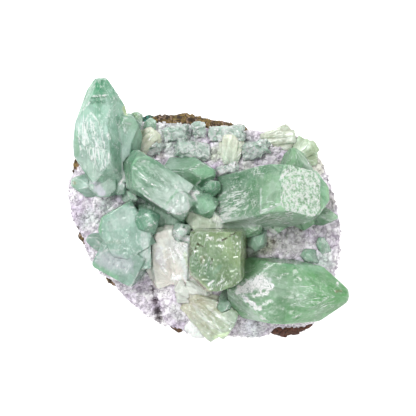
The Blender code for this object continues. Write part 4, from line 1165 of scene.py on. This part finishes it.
def growCrust():
    mesh = gridCopy("drusy_crust", crustCell, 2)
    points = coordinates(mesh)
    normals = normalsOf(mesh)
    near, second = pebbles(points, lumpSize, 21)
    clump, clumpSecond = pebbles(points, clumpSize, 22)
    broad = layered(points, 5.0, 2, 23)
    dome = np.sqrt(np.clip(1 - (near / 0.8) ** 2, 0, 1))
    mound = np.sqrt(np.clip(1 - (clump / 0.9) ** 2, 0, 1))
    free = smooth(9.9, 10.6, points[:, 2])
    height = (0.42 * dome + 0.5 * mound + 0.2 * broad - 0.62) * free
    for start, end, width in clefts:
        aside = awayFrom(points, start, end) + 0.4 * lumps(points, 0.9, 9)
        height -= cleftDepth * smooth(width, 0.3 * width, aside) * free
    away, _ = besideCrystals(points, 1.2)
    wall = smooth(0.97, 0.5, abs(normals[:, 2])) * smooth(1.2, 0.5, away) * free
    points += (height * (1 - wall) + wallFill * wall)[:, None] * normals
    setCoordinates(mesh, points)
    # shade is high on the lumps and low in the gaps between them; the crust material paints the low places
    # darker as shade
    shade = np.clip(0.1 + 1.1 * (second - near) + 0.35 * (clumpSecond - clump), 0, 1)
    addAttribute(mesh, "shade", shade)
    addAttribute(mesh, "stain", colours(stainAndShadeAt(points)))
    return dressedPiece("drusyCrust", mesh, crustMaterial(), "druse", "drusy_crust")


crust = growCrust()
print("crust with", len(crust.data.polygons), "faces")

# widths in millimetres, how many a square millimetre, and how far they lean in degrees
grainSizes = dict(small=0.62, large=1.45, density=1.0, tilt=44.0, seed=4)


def grainMaterial():
    material, tree, shader = newMaterial("quartzGrains")
    own = attribute(tree, "grainTone").outputs["Fac"]
    place = add(tree, "ShaderNodeTexCoord").outputs["Object"]
    patch = noiseAt(tree, place, patchScale, 3.0, 0.6)
    patched = between(tree, patch, 0.35, 0.65)
    light = blended(tree, patched, rgba(252, 251, 251), rgba(245, 239, 246))
    colour = blended(tree, between(tree, own, 0.0, 0.7), rgba(192, 187, 194), light)
    colour = blended(tree, 1.0, colour, attribute(tree, "stain").outputs["Color"], "MULTIPLY")
    rough = between(tree, own, 0.0, 1.0, 0.3, 0.6)
    look = {"Base Color": colour, "Roughness": rough, "IOR": quartzIor, "Transmission Weight": 0.25}
    setInputs(tree, shader, look)
    return material


fullTurn = 6.283
randomSockets = {"FLOAT_VECTOR": (0, 1, 0), "FLOAT": (2, 3, 1), "INT": (4, 5, 2)}  # low, high and result


def randomValue(tree, kind, low, high, seed):
    first, second, result = randomSockets[kind]
    inputs = {first: low, second: high, "Seed": seed}
    return add(tree, "FunctionNodeRandomValue", inputs, data_type=kind).outputs[result]


def grainTree(material):
    tree = bpy.data.node_groups.new("grainsOverCrust", "GeometryNodeTree")
    tree.interface.new_socket("Geometry", in_out="INPUT", socket_type="NodeSocketGeometry")
    for label, value in (("Smallest", 0.4 * mm), ("Largest", 0.8 * mm), ("Density", 1.0e6), ("Tilt", 0.5)):
        tree.interface.new_socket(label, in_out="INPUT", socket_type="NodeSocketFloat").default_value = value
    tree.interface.new_socket("Seed", in_out="INPUT", socket_type="NodeSocketInt").default_value = 1
    tree.interface.new_socket("Geometry", in_out="OUTPUT", socket_type="NodeSocketGeometry")
    start, end = add(tree, "NodeGroupInput").outputs, add(tree, "NodeGroupOutput")
    sources = {"Mesh": start["Geometry"], "Seed": start["Seed"]}
    spread = add(tree, "GeometryNodeDistributePointsOnFaces", sources)
    bare = add(tree, "GeometryNodeInputNamedAttribute", {"Name": "open"}, data_type="FLOAT").outputs[0]
    setInputs(tree, spread, {"Density": times(tree, bare, start["Density"])})
    pointed = {"Vertices": 6, "Radius Top": 0.15, "Radius Bottom": 1.0, "Depth": 1.1}
    point = add(tree, "GeometryNodeMeshCone", pointed)
    block = add(tree, "GeometryNodeMeshIcoSphere", {"Radius": 0.9, "Subdivisions": 1})
    shapes = add(tree, "GeometryNodeGeometryToInstance")
    for shape in (point, block):
        tree.links.new(shape.outputs[0], shapes.inputs[0])
    pick = randomValue(tree, "INT", 0, 1, 3)
    lean = times(tree, start["Tilt"], -1.0)
    low = add(tree, "ShaderNodeCombineXYZ", {0: lean, 1: lean, 2: 0.0}).outputs[0]
    high = add(tree, "ShaderNodeCombineXYZ", {0: start["Tilt"], 1: start["Tilt"], 2: fullTurn}).outputs[0]
    turn = randomValue(tree, "FLOAT_VECTOR", low, high, 5)
    size = randomValue(tree, "FLOAT", start["Smallest"], start["Largest"], 7)
    stretch = randomValue(tree, "FLOAT_VECTOR", (0.8, 0.8, 0.7), (1.15, 1.15, 1.25), 9)
    scale = vectorMaths(tree, "SCALE", {0: stretch, "Scale": size})
    facing = add(tree, "FunctionNodeRotateRotation", rotation_space="LOCAL")
    turned = add(tree, "FunctionNodeEulerToRotation", {0: turn}).outputs[0]
    setInputs(tree, facing, {0: spread.outputs["Rotation"], 1: turned})
    grains = add(tree, "GeometryNodeInstanceOnPoints", {
        "Points": spread.outputs[0], "Instance": shapes.outputs[0], "Pick Instance": True,
        "Instance Index": pick, "Rotation": facing.outputs[0], "Scale": scale,
    })
    own = randomValue(tree, "FLOAT", 0.0, 1.0, 13)
    named = {"Geometry": grains.outputs[0], "Name": "grainTone", "Value": own}
    kept = add(tree, "GeometryNodeStoreNamedAttribute", named, data_type="FLOAT", domain="INSTANCE")
    real = add(tree, "GeometryNodeRealizeInstances", {0: kept.outputs[0]})
    flat = add(tree, "GeometryNodeSetShadeSmooth", {"Geometry": real.outputs[0], "Shade Smooth": False})
    coat = add(tree, "GeometryNodeSetMaterial", {"Geometry": flat.outputs[0], "Material": material})
    tree.links.new(coat.outputs[0], end.inputs[0])
    return tree


def scatterGrains():
    mesh = crust.data.copy()
    points, normals = coordinates(mesh), normalsOf(mesh)
    away, bare = besideCrystals(points, 0.6)
    bare *= smooth(-0.1, 0.1, away) * smooth(0.0, 0.35, normals[:, 2]) * smooth(9.6, 10.4, points[:, 2])
    addAttribute(mesh, "open", bare)
    holder = bpy.data.objects.new("grainHolder", mesh)
    bpy.context.scene.collection.objects.link(holder)
    material = grainMaterial()
    tree = grainTree(material)
    modifier = holder.modifiers.new("grains", "NODES")
    modifier.node_group = tree
    values = {
        "Smallest": grainSizes["small"] * mm / 2, "Largest": grainSizes["large"] * mm / 2,
        "Density": grainSizes["density"] / mm**2, "Tilt": math.radians(grainSizes["tilt"]),
        "Seed": grainSizes["seed"],
    }
    for item in tree.interface.items_tree:
        if item.in_out == "INPUT" and item.name in values:
            modifier[item.identifier] = values[item.name]
    graph = bpy.context.evaluated_depsgraph_get()
    grains = bpy.data.meshes.new_from_object(holder.evaluated_get(graph))
    bpy.data.objects.remove(holder)
    piece = dressedPiece("drusyGrains", grains, material, "druse")
    grains.shade_flat()
    return piece


grains = scatterGrains()
print("grains with", len(grains.data.polygons), "faces")


# basalt


def basaltMaterial():
    material, tree, shader = newMaterial("basaltRock")
    place = add(tree, "ShaderNodeTexCoord").outputs["Object"]
    stain = noiseAt(tree, place, 340.0, 4.0, 0.65, 0.6)
    fine = noiseAt(tree, place, 1300.0, 4.0, 0.65)
    colour = blended(tree, between(tree, stain, 0.42, 0.62), rgba(62, 49, 34), rgba(132, 108, 54))
    flecks = noiseAt(tree, place, 760.0, 3.0, 0.7, 0.4)
    colour = blended(tree, between(tree, flecks, 0.54, 0.60), colour, rgba(156, 130, 112))
    teal = attribute(tree, "teal").outputs["Fac"]
    crusted = between(tree, times(tree, teal, fine), 0.2, 0.5)
    colour = blended(tree, crusted, colour, rgba(58, 120, 104))
    russet = attribute(tree, "russet").outputs["Fac"]
    colour = blended(tree, russet, colour, rgba(92, 52, 42))
    colour = blended(tree, between(tree, fine, 0.34, 0.56), rgba(38, 28, 22), colour)
    normal = bumped(tree, fine, 0.8, 0.25 * mm)
    setInputs(tree, shader, {"Base Color": colour, "Roughness": 0.85, "Normal": normal})
    return material


# direction from the middle in degrees, how far either side it fades out and is full, and how strong
russetSides = ((-52, 34, 24, 0.85), (-116, 24, 16, 0.5))


def growRock():
    mesh = gridCopy("basalt_matrix", rockCell, 2)
    points, normals = coordinates(mesh), normalsOf(mesh)
    free = smooth(0.3, 1.6, points[:, 2])
    crag = 0.5 * layered(points, 3.2, 3, 41) + 0.5 * chips(points, 1.6, 44) + 0.25 * chips(points, 0.8, 45)
    near, _ = pebbles(points, 2.6, 43)
    points += ((crag - 0.25 * smooth(0.35, 0.1, near)) * free * 0.8)[:, None] * normals
    setCoordinates(mesh, points)
    turn = np.degrees(np.arctan2(points[:, 1], points[:, 0]))
    russet = sum(much * smooth(out, full, abs(turn - side)) for side, out, full, much in russetSides)
    vein = np.exp(-(((turn - 119) / 4) ** 2 + (points[:, 2] < 6) * 4))
    addAttribute(mesh, "russet", russet)
    addAttribute(mesh, "teal", vein + 0.5 * np.exp(-(((turn - 106) / 2) ** 2)))
    return dressedPiece("basaltRock", mesh, basaltMaterial(), "basalt", "basalt_matrix")


rock = growRock()
print("rock with", len(rock.data.polygons), "faces")


# floor, light and camera, in metres

floorWidth, floorDrop = 3.0, 0.0002
cameraPlace = (0.6 * mm, 5.8 * mm, 367 * mm)


def addFloor():
    bpy.ops.mesh.primitive_plane_add(size=floorWidth)
    floor = bpy.context.object
    floor.name = "floor"
    floor.location.z = -floorDrop
    material, _, shader = newMaterial("paleFloor")
    setInputs(material.node_tree, shader, {
        "Base Color": (0.6, 0.6, 0.6, 1), "Roughness": 0.9, "Emission Color": (1, 1, 1, 1),
        "Emission Strength": 0.85,
    })
    floor.data.materials.append(material)


def addLight(name, place, aim, size, radiance):
    data = bpy.data.lights.new(name, "AREA")
    data.shape = "RECTANGLE"
    data.size, data.size_y = size
    data.energy = math.pi * size[0] * size[1] * radiance
    light = bpy.data.objects.new(name, data)
    bpy.context.scene.collection.objects.link(light)
    light.location = place
    light.rotation_mode = "QUATERNION"
    light.rotation_quaternion = (Vector(aim) - Vector(place)).to_track_quat("-Z", "Y")


addFloor()
middle = (0, 0, 0.02)
addLight("softKey", (-0.24, 0.24, 0.58), middle, (0.26, 0.20), 14.0)
addLight("softFill", (0.24, -0.14, 0.58), middle, (0.20, 0.14), 9.0)
addLight("smallKey", (-0.17, 0.20, 0.56), middle, (0.03, 0.03), 200.0)
world = bpy.data.worlds.new("studio")
bpy.context.scene.world = world
world.use_nodes = True
background = world.node_tree.nodes["Background"]
setInputs(world.node_tree, background, {"Color": (1, 1, 1, 1), "Strength": 0.84})

cameraData = bpy.data.cameras.new("camera")
cameraData.lens = 100
cameraData.sensor_width = 36
camera = bpy.data.objects.new("camera", cameraData)
bpy.context.scene.collection.objects.link(camera)
camera.location = cameraPlace
bpy.context.scene.camera = camera
bpy.context.scene.view_settings.view_transform = "Standard"
